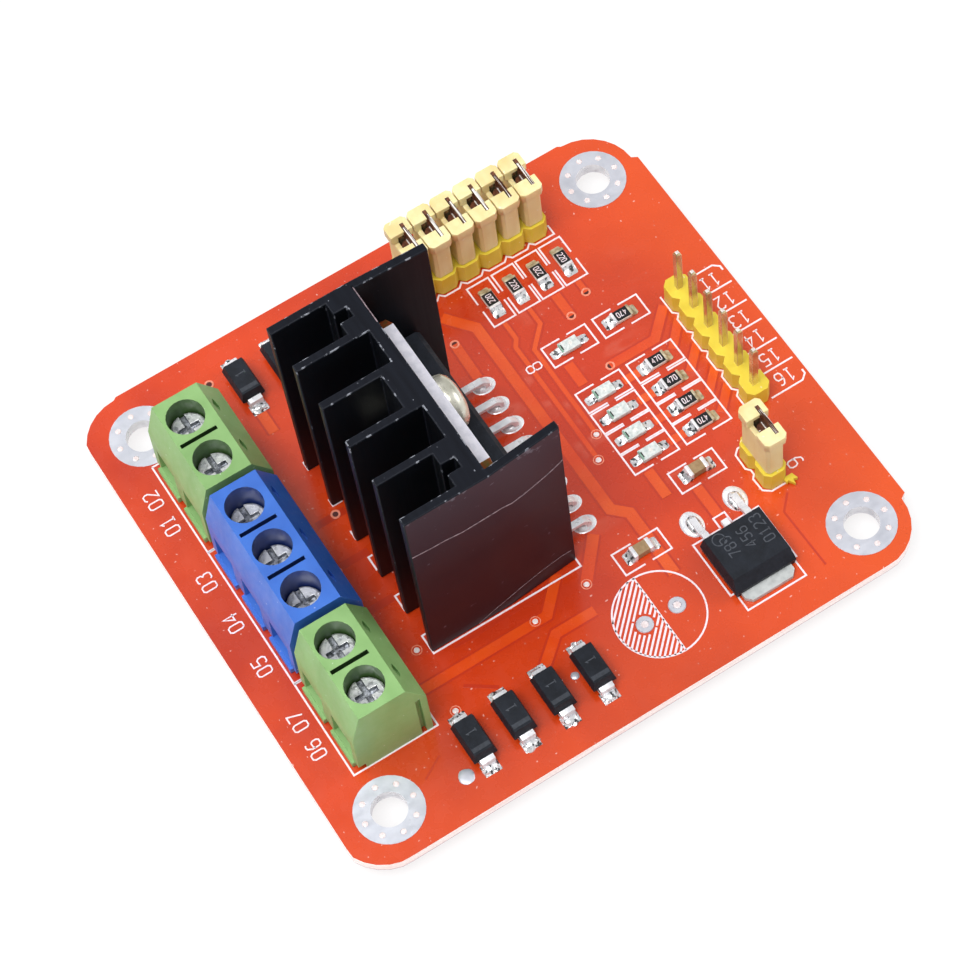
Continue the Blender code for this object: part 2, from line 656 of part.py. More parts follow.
def make_terminal(name, poles, middle, sunk, finish):
    """A terminal housing with its contacts, and the screw and clamp of each pole."""
    places = pole_places(poles, middle)
    left = places[0] - POLE_PITCH / 2 - END_EXTRA
    right = places[-1] + POLE_PITCH / 2 + END_EXTRA
    top = SEAT + TERMINAL_HEIGHT
    back = TERMINAL_FRONT + TERMINAL_DEPTH
    head_low = top - sunk - SCREW_HEAD_THICK
    ceiling = head_low - SHOULDER
    floor = SEAT + FLOOR
    reach = CLAMP_DEPTH / 2 + CLAMP_SIDE_GAP
    half = CLAMP_WIDTH / 2 + CLAMP_SIDE_GAP
    rib_y = back - RIB_FROM_BACK
    housing = add_piece(name, [prism(terminal_outline(), left, right, along_x)], finish)

    rib = box(left - RIB_PROUD, left + CUT_PAST, rib_y - RIB_WIDTH / 2, rib_y + RIB_WIDTH / 2, SEAT, SEAT + RIB_HEIGHT)
    foot_front = TERMINAL_FRONT - FOOT_PROUD
    foot_back = TERMINAL_FRONT + FOOT_PROUD
    feet = [box(x - FOOT_WIDTH / 2, x + FOOT_WIDTH / 2, foot_front, foot_back, SEAT, SEAT + FOOT_HEIGHT)
            for x in places]
    fuse(housing, [rib] + feet)

    groove = box(right - GROOVE_DEPTH, right + CUT_PAST, rib_y - GROOVE_WIDTH / 2, rib_y + GROOVE_WIDTH / 2,
                 SEAT - CUT_PAST, SEAT + RIB_HEIGHT + RUNNING_GAP)
    edge = (POLE_PITCH - FOOT_WIDTH) / 2
    borders = rows(places[0] - POLE_PITCH / 2, POLE_PITCH, poles + 1)
    notches = [box(x - edge, x + edge, foot_front - CUT_PAST, TERMINAL_FRONT + FOOT_HEIGHT, SEAT - CUT_PAST,
                   SEAT + FOOT_HEIGHT) for x in borders]
    slits = [box(x - SLIT_WIDTH / 2, x + SLIT_WIDTH / 2, WELL_Y - SLIT_LENGTH / 2, WELL_Y + SLIT_LENGTH / 2,
                 top - SLIT_DEPTH, top + CUT_PAST) for x in borders[1:-1]]
    eye_y = back - BACK_SLOPE_RUN * EYE_PLACE
    eye_top = SEAT + BACK_SLOPE_Z + (TERMINAL_HEIGHT - BACK_SLOPE_Z) * EYE_PLACE
    eyes = [prism(eye_outline(x, eye_y), eye_top - EYE_DEPTH, top + CUT_PAST) for x in places]
    wells = [turned([(WELL / 2, head_low), (WELL / 2, top + CUT_PAST)], 24, (x, WELL_Y)) for x in places]
    cut(housing, [groove] + notches + slits + eyes + wells)

    chambers = [box(x - half, x + half, WELL_Y - reach, WELL_Y + reach, floor, ceiling) for x in places]
    cut(housing, chambers)
    necks = [turned([(SCREW_SHANK / 2 + CLAMP_SIDE_GAP, ceiling - SHOULDER), (SCREW_SHANK / 2 + CLAMP_SIDE_GAP,
                     head_low + SHOULDER)], 16, (x, WELL_Y)) for x in places]
    entries = [box(x - ENTRY_WIDTH / 2, x + ENTRY_WIDTH / 2, foot_front - CUT_PAST, WELL_Y - reach + SHOULDER,
                   SEAT + ENTRY_LOW, SEAT + ENTRY_HIGH) for x in places]
    cut(housing, necks + entries)

    leg = contact_y()
    tongue = tongue_top()
    side = [(WELL_Y - CLAMP_DEPTH / 2, tongue), (WELL_Y - CLAMP_DEPTH / 2, tongue - TONGUE_THICK),
            (leg - CONTACT_LEG / 2, tongue - TONGUE_THICK), (leg - CONTACT_LEG / 2, 0.0),
            (leg + CONTACT_LEG / 2, 0.0), (leg + CONTACT_LEG / 2, tongue)]
    contacts = [prism(side, x - CONTACT_WIDTH / 2, x + CONTACT_WIDTH / 2, along_x) for x in places]
    fuse(housing, contacts)

    for i, x in enumerate(places):
        label = str(i + 1)
        make_terminal_screw(name + "_screw_" + label, x, head_low)
        make_clamp(name + "_clamp_" + label, x)


def make_terminal_screw(name, x, head_low):
    """A cheese-head screw with a crossed slot, held under its head by the housing's shoulder."""
    shank_low = tongue_top() + RUNNING_GAP - head_low
    seat = MOULD_GAP
    profile = [(SCREW_SHANK / 2, shank_low), (SCREW_SHANK / 2, seat), (SCREW_HEAD / 2, seat),
               (SCREW_HEAD / 2, SCREW_HEAD_THICK - SCREW_CHAMFER), (SCREW_HEAD / 2 - SCREW_CHAMFER, SCREW_HEAD_THICK)]
    screw = add_piece(name, [turned(profile, 24)], "zinc_steel", (x, WELL_Y, head_low), smooth=True)
    w = SCREW_SLOT / 2
    reach = SCREW_HEAD / 2 + CUT_PAST
    short = SCREW_HEAD * SHORT_SLOT_SHARE
    cross = [(-w, -short), (w, -short), (w, -w), (reach, -w), (reach, w), (w, w), (w, short), (-w, short), (-w, w),
             (-reach, w), (-reach, -w), (-w, -w)]
    cut(screw, [prism(cross, SCREW_HEAD_THICK - SCREW_SLOT_DEPTH, SCREW_HEAD_THICK + CUT_PAST)])


def make_clamp(name, x):
    """The rising clamp: a square metal sleeve whose roof is tapped for the screw."""
    a, b = CLAMP_WIDTH / 2, CLAMP_WIDTH / 2 - CLAMP_WALL
    h = CLAMP_HEIGHT
    sleeve = prism([(-a, 0.0), (a, 0.0), (a, h), (-a, h)], -CLAMP_DEPTH / 2, CLAMP_DEPTH / 2, along_y)
    clamp = add_piece(name, [sleeve], "zinc_steel", (x, WELL_Y, clamp_low()))
    way = prism([(-b, CLAMP_WALL), (b, CLAMP_WALL), (b, h - CLAMP_ROOF), (-b, h - CLAMP_ROOF)], -CLAMP_DEPTH,
                CLAMP_DEPTH, along_y)
    cut(clamp, [way])
    tapped = SCREW_SHANK / 2 + SEAT_GAP
    cut(clamp, [turned([(tapped, h - CLAMP_ROOF - RUNNING_GAP), (tapped, h + CUT_PAST)], 24)])


def notched_outline(cells, pitch, width, notch):
    """Outline of a header base along X: a nick in both long sides between neighbouring cells."""
    half = width / 2
    left = -pitch * cells / 2
    lower = []
    for i in range(cells):
        x = left + pitch * i
        lower += [(x, -half + notch), (x + notch, -half), (x + pitch - notch, -half)]
    lower.append((left + pitch * cells, -half + notch))
    return lower + [(-x, -y) for x, y in lower]


def pin(place, top):
    """Levels of a square pin with pointed ends, from the lead tips up to the given height above the board."""
    a = PIN_SIDE / 2
    b = a * PIN_TIP_SHARE
    levels = []
    for side, z in ((b, 0.0), (a, PIN_POINT), (a, BOARD_TOP + top - PIN_POINT), (b, BOARD_TOP + top)):
        levels.append([(place[0] - side, place[1] - side, z), (place[0] + side, place[1] - side, z),
                       (place[0] + side, place[1] + side, z), (place[0] - side, place[1] + side, z)])
    return levels


def make_headers():
    """The three pin headers, each a notched plastic base with its pins moulded in."""
    low, high = SEAT, SEAT + HEADER_HEIGHT
    line = notched_outline(CONTROL_PINS, PIN_PITCH, HEADER_WIDTH, HEADER_NOTCH)
    middle = CONTROL_FIRST_X + PIN_PITCH * (CONTROL_PINS - 1) / 2
    base = shifted(prism(line, low, high), middle, CONTROL_Y)
    control = add_piece("control_header", [base], "yellow_plastic")
    fuse(control, [pin(place, CONTROL_PIN_TOP) for place in control_pins()])

    line = notched_outline(2, PIN_PITCH, HEADER_WIDTH, HEADER_NOTCH)
    supply = add_piece("supply_header", [shifted(prism(line, low, high), SUPPLY_X, SUPPLY_Y)], "yellow_plastic")
    fuse(supply, [pin(place, JUMPER_PIN_TOP) for place in supply_pins()])

    line = notched_outline(BANK_ROWS, PIN_PITCH, HEADER_WIDTH + PIN_PITCH, HEADER_NOTCH)
    upright = [(-y, x) for x, y in line]
    middle = BANK_FIRST_Y + PIN_PITCH * (BANK_ROWS - 1) / 2
    bank = add_piece("jumper_header", [shifted(prism(upright, low, high), BANK_X, middle)], "yellow_plastic")
    fuse(bank, [pin(place, JUMPER_PIN_TOP) for place in bank_pins()])


def make_jumper_cap(name, x, y):
    """A cap over two pins: a slotted shell with a low saddle in the middle and a metal clip inside."""
    low = SEAT + HEADER_HEIGHT + RUNNING_GAP
    height = BOARD_TOP + CAP_TOP - low
    shell = prism(chamfered_rectangle(CAP_LENGTH, CAP_WIDTH, CAP_CORNER), 0.0, height)
    cap = add_piece(name, [shell], "pale_yellow_plastic", (x, y, low))
    far = CAP_WIDTH / 2 - CAP_BORE_WALL
    near = -PIN_SIDE / 2 - RUNNING_GAP
    half = CAP_BORE_LENGTH / 2
    cut(cap, [box(-half, half, near, far, -CUT_PAST, height - CAP_ROOF)])
    saddle = CAP_SADDLE / 2
    cut(cap, [box(-saddle, saddle, -CAP_WIDTH, CAP_WIDTH, height - CAP_SADDLE_DEPTH, height + CUT_PAST)])
    clip_near = far - CLIP_THICK
    slit_low, slit_high = height - 2 * CAP_ROOF, height + CUT_PAST
    cut(cap, [box(-CLIP_LENGTH / 2, CLIP_LENGTH / 2, clip_near - RUNNING_GAP, far, slit_low, slit_high)])
    fuse(cap, [box(-CLIP_LENGTH / 2 + SEAT_GAP, CLIP_LENGTH / 2 - SEAT_GAP, clip_near, far + CLIP_SUNK, CAP_ROOF,
                   height - CLIP_SUNK)])


def make_jumper_caps():
    """Six caps side by side on the jumper bank and one on the supply header."""
    for i, y in enumerate(rows(BANK_FIRST_Y, PIN_PITCH, BANK_ROWS)):
        make_jumper_cap("jumper_cap_" + str(i + 1), BANK_X, y)
    make_jumper_cap("supply_jumper_cap", SUPPLY_X, SUPPLY_Y)


def turn_of(along):
    """Rotation that lays a piece's length along X or Y."""
    return (0.0, 0.0, pi / 2 if along == "Y" else 0.0)


def make_chip_part(name, size, finish, place, along):
    """A flat resistor or capacitor with slightly raised metal ends."""
    length, width, height = size
    a, b, s = length / 2, length / 2 - CHIP_END, CHIP_END_STEP
    side = [(-a, 0.0), (a, 0.0), (a, height), (b, height), (b, height - s), (-b, height - s), (-b, height),
            (-a, height)]
    add_piece(name, [prism(side, -width / 2, width / 2, along_y)], finish, place + (SEAT,), turn_of(along))


def make_led(name, place):
    """A small lamp: a flat base with a raised resin lens, lying along Y."""
    length, width, height = LED_SIZE
    a, b = length / 2, LED_LENS / 2
    side = [(-a, 0.0), (a, 0.0), (a, LED_BASE), (b, LED_BASE), (b - SEAT_GAP, height), (-b + SEAT_GAP, height),
            (-b, LED_BASE), (-a, LED_BASE)]
    add_piece(name, [prism(side, -width / 2, width / 2, along_y)], "led_resin", place + (SEAT,), turn_of("Y"))


def make_small_parts():
    """Resistors, lamps and capacitors."""
    ys = rows(INPUT_RESISTOR_TOP_Y, -INPUT_RESISTOR_PITCH, INPUT_RESISTOR_COUNT)
    for i, y in enumerate(ys):
        make_chip_part("input_resistor_" + str(i + 1), RESISTOR_SIZE, "black_epoxy", (INPUT_RESISTOR_X, y), "X")
    for i, x in enumerate(rows(INDICATOR_FIRST_X, INDICATOR_PITCH, INDICATOR_COUNT)):
        label = str(i + 1)
        make_chip_part("indicator_resistor_" + label, RESISTOR_SIZE, "black_epoxy", (x, INDICATOR_RESISTOR_Y), "Y")
        make_led("indicator_led_" + label, (x, INDICATOR_LED_Y))
    place = (POWER_LED_X, INDICATOR_RESISTOR_Y)
    make_chip_part("power_led_resistor", RESISTOR_SIZE, "black_epoxy", place, "Y")
    make_led("power_led", (POWER_LED_X, INDICATOR_LED_Y))
    for i, place in enumerate(CAPACITOR_PLACES):
        make_chip_part("ceramic_capacitor_" + str(i + 1), CAPACITOR_SIZE, "tan_ceramic", place, "Y")


def make_diode(name, x, y):
    """A moulded diode with drafted sides and a flat lead folded under each end."""
    shrink = 2 * DIODE_DRAFT
    body = rectangles([(DIODE_LENGTH - shrink, DIODE_WIDTH - shrink, DIODE_LIFT),
                       (DIODE_LENGTH, DIODE_WIDTH, DIODE_PARTING),
                       (DIODE_LENGTH - shrink, DIODE_WIDTH - shrink, DIODE_HEIGHT)])
    diode = add_piece(name, [body], "black_epoxy", (x, y, SEAT))
    half = DIODE_LENGTH / 2
    out = half + DIODE_LEAD_REACH - DIODE_LEAD_THICK / 2
    sole = DIODE_LEAD_THICK / 2
    leads = []
    for side in (-1, 1):
        path = [(half - DIODE_DRAFT, DIODE_PARTING), (out, DIODE_PARTING), (out, sole), (half - DIODE_LEAD_UNDER, sole)]
        outline = [(side * u, v) for u, v in strip(path, DIODE_LEAD_THICK)]
        leads.append(prism(outline, -DIODE_LEAD_WIDTH / 2, DIODE_LEAD_WIDTH / 2, along_y))
    fuse(diode, leads)


def make_diodes():
    """A column of diodes on each side of the heatsink."""
    for side, x, first_y in (("left", LEFT_DIODE_X, LEFT_DIODE_Y), ("right", RIGHT_DIODE_X, RIGHT_DIODE_Y)):
        for i, y in enumerate(rows(first_y, DIODE_PITCH, DIODE_COUNT)):
            make_diode("diode_" + side + "_" + str(i + 1), x, y)


def make_regulator():
    """The voltage regulator: a moulded body on a flat tab, with two soldered leads and a cut one."""
    half = REG_LENGTH / 2
    low = REG_TAB_THICK + MOULD_GAP
    body = prism(chamfered_rectangle(REG_LENGTH, REG_WIDTH, REG_CHAMFER), low, REG_HEIGHT)
    regulator = add_piece("voltage_regulator", [body], "black_epoxy", (REG_X, REG_Y, SEAT))
    t = REG_LEAD_THICK
    shoulder = low + t
    leads = []
    for side in (-1, 1):
        path = [(-half + REG_CHAMFER, shoulder), (-half - REG_LEAD_STEP_OUT, shoulder),
                (-half - REG_LEAD_STEP_IN, t / 2), (-half - REG_LEAD_REACH, t / 2)]
        middle = side * REG_LEAD_PITCH
        lead = prism(strip(path, t), -REG_LEAD_WIDTH / 2, REG_LEAD_WIDTH / 2, along_y)
        leads.append(shifted(lead, 0.0, middle))
    stub = box(-half - REG_STUB, -half + REG_CHAMFER, -REG_LEAD_WIDTH / 2, REG_LEAD_WIDTH / 2, shoulder - t / 2,
               shoulder + t / 2)
    fuse(regulator, leads + [stub])

    end = half + REG_TAB_OUT
    start = end - REG_TAB_LENGTH
    w, c = REG_TAB_WIDTH / 2, REG_TAB_CHAMFER
    outline = [(start, -w), (end - c, -w), (end, -w + c), (end, w - c), (end - c, w), (start, w)]
    add_piece("regulator_tab", [prism(outline, 0.0, REG_TAB_THICK)], "tinned_copper", (REG_X, REG_Y, SEAT))


def clear_scene():
    for old in list(bpy.data.objects):
        bpy.data.objects.remove(old, do_unlink=True)


def main():
    clear_scene()
    make_board()
    make_heatsink()
    make_chip()
    make_heatsink_screw()
    for terminal in TERMINALS:
        make_terminal(*terminal)
    make_headers()
    make_jumper_caps()
    make_small_parts()
    make_diodes()
    make_regulator()


main()
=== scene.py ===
"""Looks of a DC motor driver module: a red board with a black heatsink, terminals, headers and small parts.

Shapes are drawn in millimetres with Z measured from the board's top face, and are turned to metres in the CAD
frame when each piece is finished. +X runs along the screw terminals and +Y points at the control header.
"""

from math import cos, hypot, pi, radians, sin, tau

import bmesh
import bpy
from mathutils import Matrix, Vector
from mathutils.noise import noise


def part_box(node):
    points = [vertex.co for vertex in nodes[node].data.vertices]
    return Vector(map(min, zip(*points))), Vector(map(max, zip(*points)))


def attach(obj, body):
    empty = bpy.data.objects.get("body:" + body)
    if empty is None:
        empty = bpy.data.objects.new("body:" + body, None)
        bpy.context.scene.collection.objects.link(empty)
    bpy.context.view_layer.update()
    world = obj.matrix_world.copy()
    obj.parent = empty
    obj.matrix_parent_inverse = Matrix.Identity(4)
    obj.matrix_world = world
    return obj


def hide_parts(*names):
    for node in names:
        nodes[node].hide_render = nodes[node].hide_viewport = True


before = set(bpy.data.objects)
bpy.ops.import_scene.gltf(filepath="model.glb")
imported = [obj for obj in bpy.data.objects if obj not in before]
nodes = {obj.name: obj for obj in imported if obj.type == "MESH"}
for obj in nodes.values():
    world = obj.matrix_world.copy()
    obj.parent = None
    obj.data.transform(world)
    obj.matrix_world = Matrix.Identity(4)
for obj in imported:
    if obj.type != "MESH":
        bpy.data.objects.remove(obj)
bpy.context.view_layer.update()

MM = 0.001
# How far the ring pads stand proud of the mask, in millimetres
PAD_PROUD = 0.05
BOARD_LO, BOARD_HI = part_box("circuit_board")
TOP_Z = BOARD_HI.z - PAD_PROUD * MM
BOARD_THICK = (BOARD_HI.z - BOARD_LO.z) / MM - 2 * PAD_PROUD
TO_FRAME = Matrix.Translation((0.0, 0.0, TOP_Z)) @ Matrix.Scale(MM, 4)
FROM_FRAME = Matrix.Scale(1 / MM, 4) @ Matrix.Translation((0.0, 0.0, -TOP_Z))
PITCH = 2.54
MOUNT_X, MOUNT_Y = 22.86, 25.4
MOUNTS = [(x, y) for x in (-MOUNT_X, MOUNT_X) for y in (-MOUNT_Y, MOUNT_Y)]
SIDES = (-1, 1)


def box_of(name):
    """Lowest and highest corner of a CAD node, in millimetres with Z from the board's top."""
    low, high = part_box(name)
    lift = Vector((0.0, 0.0, TOP_Z))
    return (low - lift) / MM, (high - lift) / MM


def middle_of(name):
    """Middle of a CAD node's box, in millimetres."""
    low, high = box_of(name)
    return (low + high) / 2


# Materials

EVEN = (1.0, 1.0, 1.0)
# Height at which the heatsink's wear and painted sheen are full, and how deep light goes into glowing
# plastic, in millimetres
SINK_PATCHES_FULL = 25.0
GLOW_DEPTH = 0.6


def linear(hex_colour):
    """Linear RGBA of an sRGB colour written as six hex digits."""
    parts = [int(hex_colour[i:i + 2], 16) / 255 for i in (0, 2, 4)]
    return [((c + 0.055) / 1.055) ** 2.4 if c > 0.04045 else c / 12.92 for c in parts] + [1.0]


def add(tree, kind, inputs=None, **settings):
    """Adds a node with its settings, and each input's value or the socket that feeds it."""
    made = tree.nodes.new(kind)
    for name, value in settings.items():
        setattr(made, name, value)
    for name, value in (inputs or {}).items():
        if isinstance(value, bpy.types.NodeSocket):
            tree.links.new(value, made.inputs[name])
        else:
            made.inputs[name].default_value = value
    return made


def maths(tree, operation, first, second):
    """Two values added, multiplied or compared."""
    return add(tree, "ShaderNodeMath", {0: first, 1: second}, operation=operation).outputs[0]


def between(tree, value, low, high, to_low=0.0, to_high=1.0):
    """The value, spread from one range over another and held inside it."""
    inputs = {"Value": value, "From Min": low, "From Max": high, "To Min": to_low, "To Max": to_high}
    return add(tree, "ShaderNodeMapRange", inputs, clamp=True).outputs["Result"]


class Finish:
    """A material in the making: a body colour that each step paints over, its roughness and its dents.

    Each step returns the finish, so that steps can follow one another.
    """

    def __init__(self, name, body, roughness, metallic=0.0, **more):
        self.material = bpy.data.materials.new(name)
        self.material.use_nodes = True
        self.tree = self.material.node_tree
        self.shader = self.tree.nodes["Principled BSDF"]
        self.body = body
        for socket, value in {"Roughness": roughness, "Metallic": metallic, **more}.items():
            self.shader.inputs[socket.replace("_", " ")].default_value = value

    def feed(self, name, socket):
        """Links a socket into one of the shader's inputs."""
        self.tree.links.new(socket, self.shader.inputs[name])
        return self

    def place(self):
        """Where the surface is in its object, in metres."""
        return add(self.tree, "ShaderNodeTexCoord").outputs["Object"]

    def along(self, axis):
        """Where the surface is along an axis of its object."""
        return add(self.tree, "ShaderNodeSeparateXYZ", {0: self.place()}).outputs[axis]

    def grain(self, lump, detail=3.0, stretch=EVEN):
        """Noise with lumps of a size in millimetres, drawn out along an axis whose stretch is below one."""
        drawn = add(self.tree, "ShaderNodeMapping", {"Vector": self.place(), "Scale": stretch})
        inputs = {"Vector": drawn.outputs["Vector"], "Scale": 1.0 / (lump * MM), "Detail": detail}
        return add(self.tree, "ShaderNodeTexNoise", inputs).outputs["Fac"]

    def paint(self, share, colour):
        """Mixes a colour into the body by a share."""
        first, second = [linear(c) if isinstance(c, str) else c for c in (self.body, colour)]
        mixed = add(self.tree, "ShaderNodeMix", {0: share, 6: first, 7: second}, data_type="RGBA")
        self.body = mixed.outputs[2]
        return self.feed("Base Color", self.body)

    def patches(self, colour, lump, detail=3.0, low=0.35, high=0.7, share=1.0, stretch=EVEN):
        """Patches of a colour, where the noise rises from a low level to a high one."""
        noisy = self.grain(lump, detail, stretch)
        return self.paint(between(self.tree, noisy, low, high, 0.0, share), colour)

    def fade(self, colour, axis, start, end, share=1.0):
        """A colour that comes in along an axis, from one place to another in metres."""
        return self.paint(between(self.tree, self.along(axis), start, end, 0.0, share), colour)

    def worn(self, colour, lump, start, gain, low, high, share):
        """Pale patches that grow towards the heatsink's top, from a height in millimetres: wear on its edges,
        and a painted sheen on its outer wall.
        """
        rising = between(self.tree, self.along("Z"), TOP_Z + start * MM, TOP_Z + SINK_PATCHES_FULL * MM, 0.0, gain)
        growing_patches = maths(self.tree, "ADD", self.grain(lump, 4.0), rising)
        return self.paint(between(self.tree, growing_patches, low, high, 0.0, share), colour)

    def uneven(self, least, most, lump, detail=3.0, stretch=EVEN, high=0.7):
        """Roughness that varies between two values."""
        noisy = self.grain(lump, detail, stretch)
        return self.feed("Roughness", between(self.tree, noisy, 0.3, high, least, most))

    def dents(self, depth, lump, detail=2.0, stretch=EVEN):
        """Small dents of a depth in millimetres."""
        inputs = {"Height": self.grain(lump, detail, stretch), "Distance": depth * MM, "Strength": 1.0}
        return self.feed("Normal", add(self.tree, "ShaderNodeBump", inputs).outputs["Normal"])


def moulded(name, colour, shade, roughness, glow=0.0, drawn=0.0):
    """Injection-moulded plastic: faint flow marks, fine spark-eroded grain and a few white dust specks."""
    made = Finish(name, colour, roughness)
    if glow:
        light = {"Weight": glow, "Scale": GLOW_DEPTH * MM, "Radius": (1.0, 0.8, 0.5)}
        for socket, value in light.items():
            made.shader.inputs["Subsurface " + socket].default_value = value
    made.patches(shade, 2.5, 2.0, stretch=(1.0, 1.0, 0.5))
    if drawn:
        made.patches(shade, 0.6, 0.0, 0.45, 0.6, drawn, (1.0, 1.0, 0.01))
    made.patches("FFFFFF", 0.35, 0.0, 0.82, 0.85, 0.35)
    return made.uneven(roughness - 0.07, roughness + 0.1, 0.8).dents(0.012, 0.12).material


def plated(name, colour, stain, roughness, lump=0.9, depth=0.02, smear=EVEN, metallic=1.0, dross=0.0):
    """Plated or tinned metal: bright, with cloudy stains and small dents that break its reflections, and,
    where asked, painted dark glints that stand for reflections.
    """
    made = Finish(name, colour, roughness, metallic).patches(stain, lump * 1.6, 4.0, 0.4, 0.72)
    if dross:
        # Painted reflections: small dark patches
        made.patches("1E1E22", 0.4, 1.0, 0.58, 0.63, dross)
    made.uneven(roughness * 0.6, roughness * 1.5, lump, 3.0, smear)
    return made.dents(depth, lump, 2.0, smear).material


def ceramic(name, colour, shade, roughness, lump=0.3, pit=0.08, depth=0.006):
    """Fired ceramic, glass coat, resin or printed mark: even colour with fine pits."""
    return Finish(name, colour, roughness).patches(shade, lump).dents(depth, pit).material


def well(name, colour, deep):
    """Nylon inside a screw's well: darker from its rim down, where little light gets in."""
    made = Finish(name, deep, 0.45).fade(colour, "Z", TOP_Z + 5.5 * MM, TOP_Z + 9.8 * MM)
    return made.patches(deep, 0.8, share=0.3).material


MASK_RED = "D8400B"
MASK_RED_DEEP = "C03009"
# The lighter red of painted light, towards two sides of the board
MASK_RED_PAINTED_LIGHT = "E45912"
# The middle of a darker patch on the board, and how far it reaches in metres
DARKER_MIDDLE = (-0.002, 0.013, TOP_Z)
DARKER_FAR, DARKER_NEAR = 0.017, 0.007
# The gloss of cured solder mask
MASK_GLOSS = {"Coat_Weight": 1.0, "Coat_IOR": 1.5, "Coat_Roughness": 0.12}


def make_solder_mask():
    """Liquid photo-imaged solder mask on glass-fibre board: glossy orange-red, painted lighter at two sides
    as a painted gradient of light.

    A darker patch with whitish smears covers the middle, and dust specks lie all over.
    """
    made = Finish("glossy_red_solder_mask", MASK_RED, 0.28, **MASK_GLOSS).patches(MASK_RED_DEEP, 9.0, 2.0)
    # Painted light: the mask is painted lighter towards +Y and towards +X
    made.fade(MASK_RED_PAINTED_LIGHT, "Y", 0.014, 0.028, 0.45)
    made.fade(MASK_RED_PAINTED_LIGHT, "X", 0.012, 0.028, 0.3)
    apart = add(made.tree, "ShaderNodeVectorMath", {0: made.place(), 1: DARKER_MIDDLE}, operation="DISTANCE")
    middle_share = between(made.tree, apart.outputs["Value"], DARKER_FAR, DARKER_NEAR, 0.0, 0.6)
    made.paint(middle_share, MASK_RED_DEEP)
    streaks = between(made.tree, made.grain(2.8, 5.0, (1.0, 0.4, 1.0)), 0.56, 0.72, 0.0, 0.4)
    made.paint(maths(made.tree, "MULTIPLY", middle_share, streaks), "F09C88")
    made.patches("FFD9D0", 0.3, 0.0, 0.825, 0.86, 0.5)
    return made.uneven(0.2, 0.36, 1.6, 4.0, high=0.75).dents(0.01, 0.45).material


def make_board_edge():
    """Sawn glass-fibre laminate: pale pinkish strip with faint layers and a darker line at the lower mask,
    with a painted glow in its own colour that lifts it out of its shade.
    """
    made = Finish("sawn_glass_fibre_edge", "FFF0EC", 0.6, Emission_Strength=0.2)
    made.patches("F6DCD8", 0.25, 3.0, 0.4, 0.65, stretch=(0.05, 0.05, 1.0))
    low = TOP_Z - BOARD_THICK * MM
    made.fade("B49CA4", "Z", low + 0.14 * MM, low + 0.08 * MM)
    # Painted light: the edge glows in its own colour, though it is no lamp
    return made.feed("Emission Color", made.body).dents(0.03, 0.2, 3.0, (0.1, 0.1, 1.0)).material


solder_mask = make_solder_mask()
# Solder mask over copper: the same red, warmer because the metal shines through it
masked_copper = (Finish("solder_mask_over_copper", "E45618", 0.26, **MASK_GLOSS).patches(MASK_RED, 6.0, 2.0)
                 .uneven(0.18, 0.34, 1.2, 4.0, high=0.75).dents(0.01, 0.5).material)
# Solder mask over bare laminate between the traces: a deeper red, where no copper shines through
mask_groove = (Finish("solder_mask_over_laminate", "BC2E0A", 0.3, **MASK_GLOSS)
               .patches(MASK_RED_DEEP, 2.0).material)
board_edge = make_board_edge()
# Screen-printed epoxy ink: matt white, slightly uneven where the screen starved it
white_print = (Finish("screen_printed_white_ink", "F4E8F0", 0.5)
               .patches("F0B8A8", 0.4, 4.0, 0.52, 0.75, 0.55).material)
# Hot-air levelled tin on a flat pad: pale blue-grey, soft reflections and faint scratches
ring_tin = (Finish("hot_air_levelled_tin", "DADCE6", 0.45, 0.5).patches("CACDD8", 1.4, 4.0)
            .uneven(0.32, 0.5, 0.5, 4.0, (1.0, 0.25, 1.0)).dents(0.008, 0.6, 3.0).material)
# Black anodised aluminium extrusion: near black with a bluish cast and die lines along its length
anodised = (Finish("black_anodised_extrusion", "101318", 0.36, Specular_IOR_Level=0.12).patches("0C0E12", 5.0)
            .patches("8A8E98", 0.35, 1.0, 0.8, 0.82, 0.3)
            .uneven(0.32, 0.42, 0.3, 3.0, (1.0, 1.0, 0.015)).material)
# Outer wall of the extrusion: the dye has a purple-brown bloom; towards the top it is painted grey as a
# painted reflection, with grey blotches of painted sheen
bloomed_wall_painted_sheen = (Finish("bloomed_anodised_wall", "2E161B", 0.4, Specular_IOR_Level=0.15)
                .patches("24121A", 5.0, 2.0)
                # Painted reflection: grey towards the top
                .fade("3C3642", "Z", TOP_Z + 13 * MM, TOP_Z + 26 * MM, 0.6)
                # Painted sheen: grey blotches that grow towards the top
                .worn("8C8894", 1.0, 22.5, 0.12, 0.7, 0.8, 0.5).material)
# Sawn and anodised end face: bluish charcoal with faint saw lines and bare specks
sawn_end = (Finish("sawn_anodised_end", "171A22", 0.6, Specular_IOR_Level=0.1)
            .patches("12141B", 0.5, 3.0, 0.3, stretch=(0.08, 1.0, 1.0))
            .patches("A4A8B4", 0.35, 1.0, 0.77, 0.8, 0.6).material)
# Rounded edge of the extrusion: charcoal, rubbed through to silver aluminium in places near the top
worn_edge = (Finish("rubbed_anodised_edge", "1A1D25", 0.5, Specular_IOR_Level=0.15)
             .worn("9A9EA8", 0.8, 22.0, 0.1, 0.67, 0.74, 0.75).material)
# Transfer-moulded black epoxy: matt charcoal with a fine sparkle of filler
epoxy = (Finish("moulded_black_epoxy", "22262E", 0.6, Specular_IOR_Level=0.2).patches("191C22", 1.2)
         .patches("5C616C", 0.15, 1.0, 0.74, 0.8, 0.3).uneven(0.48, 0.66, 0.3).dents(0.015, 0.1).material)
# Open via barrel: a flat dark brown-red disc, painted shade where the hole is
via_painted_shade = Finish("dark_via_hollow", "3A100C", 0.5).patches("5C1A12", 0.2, low=0.0, high=1.0).material
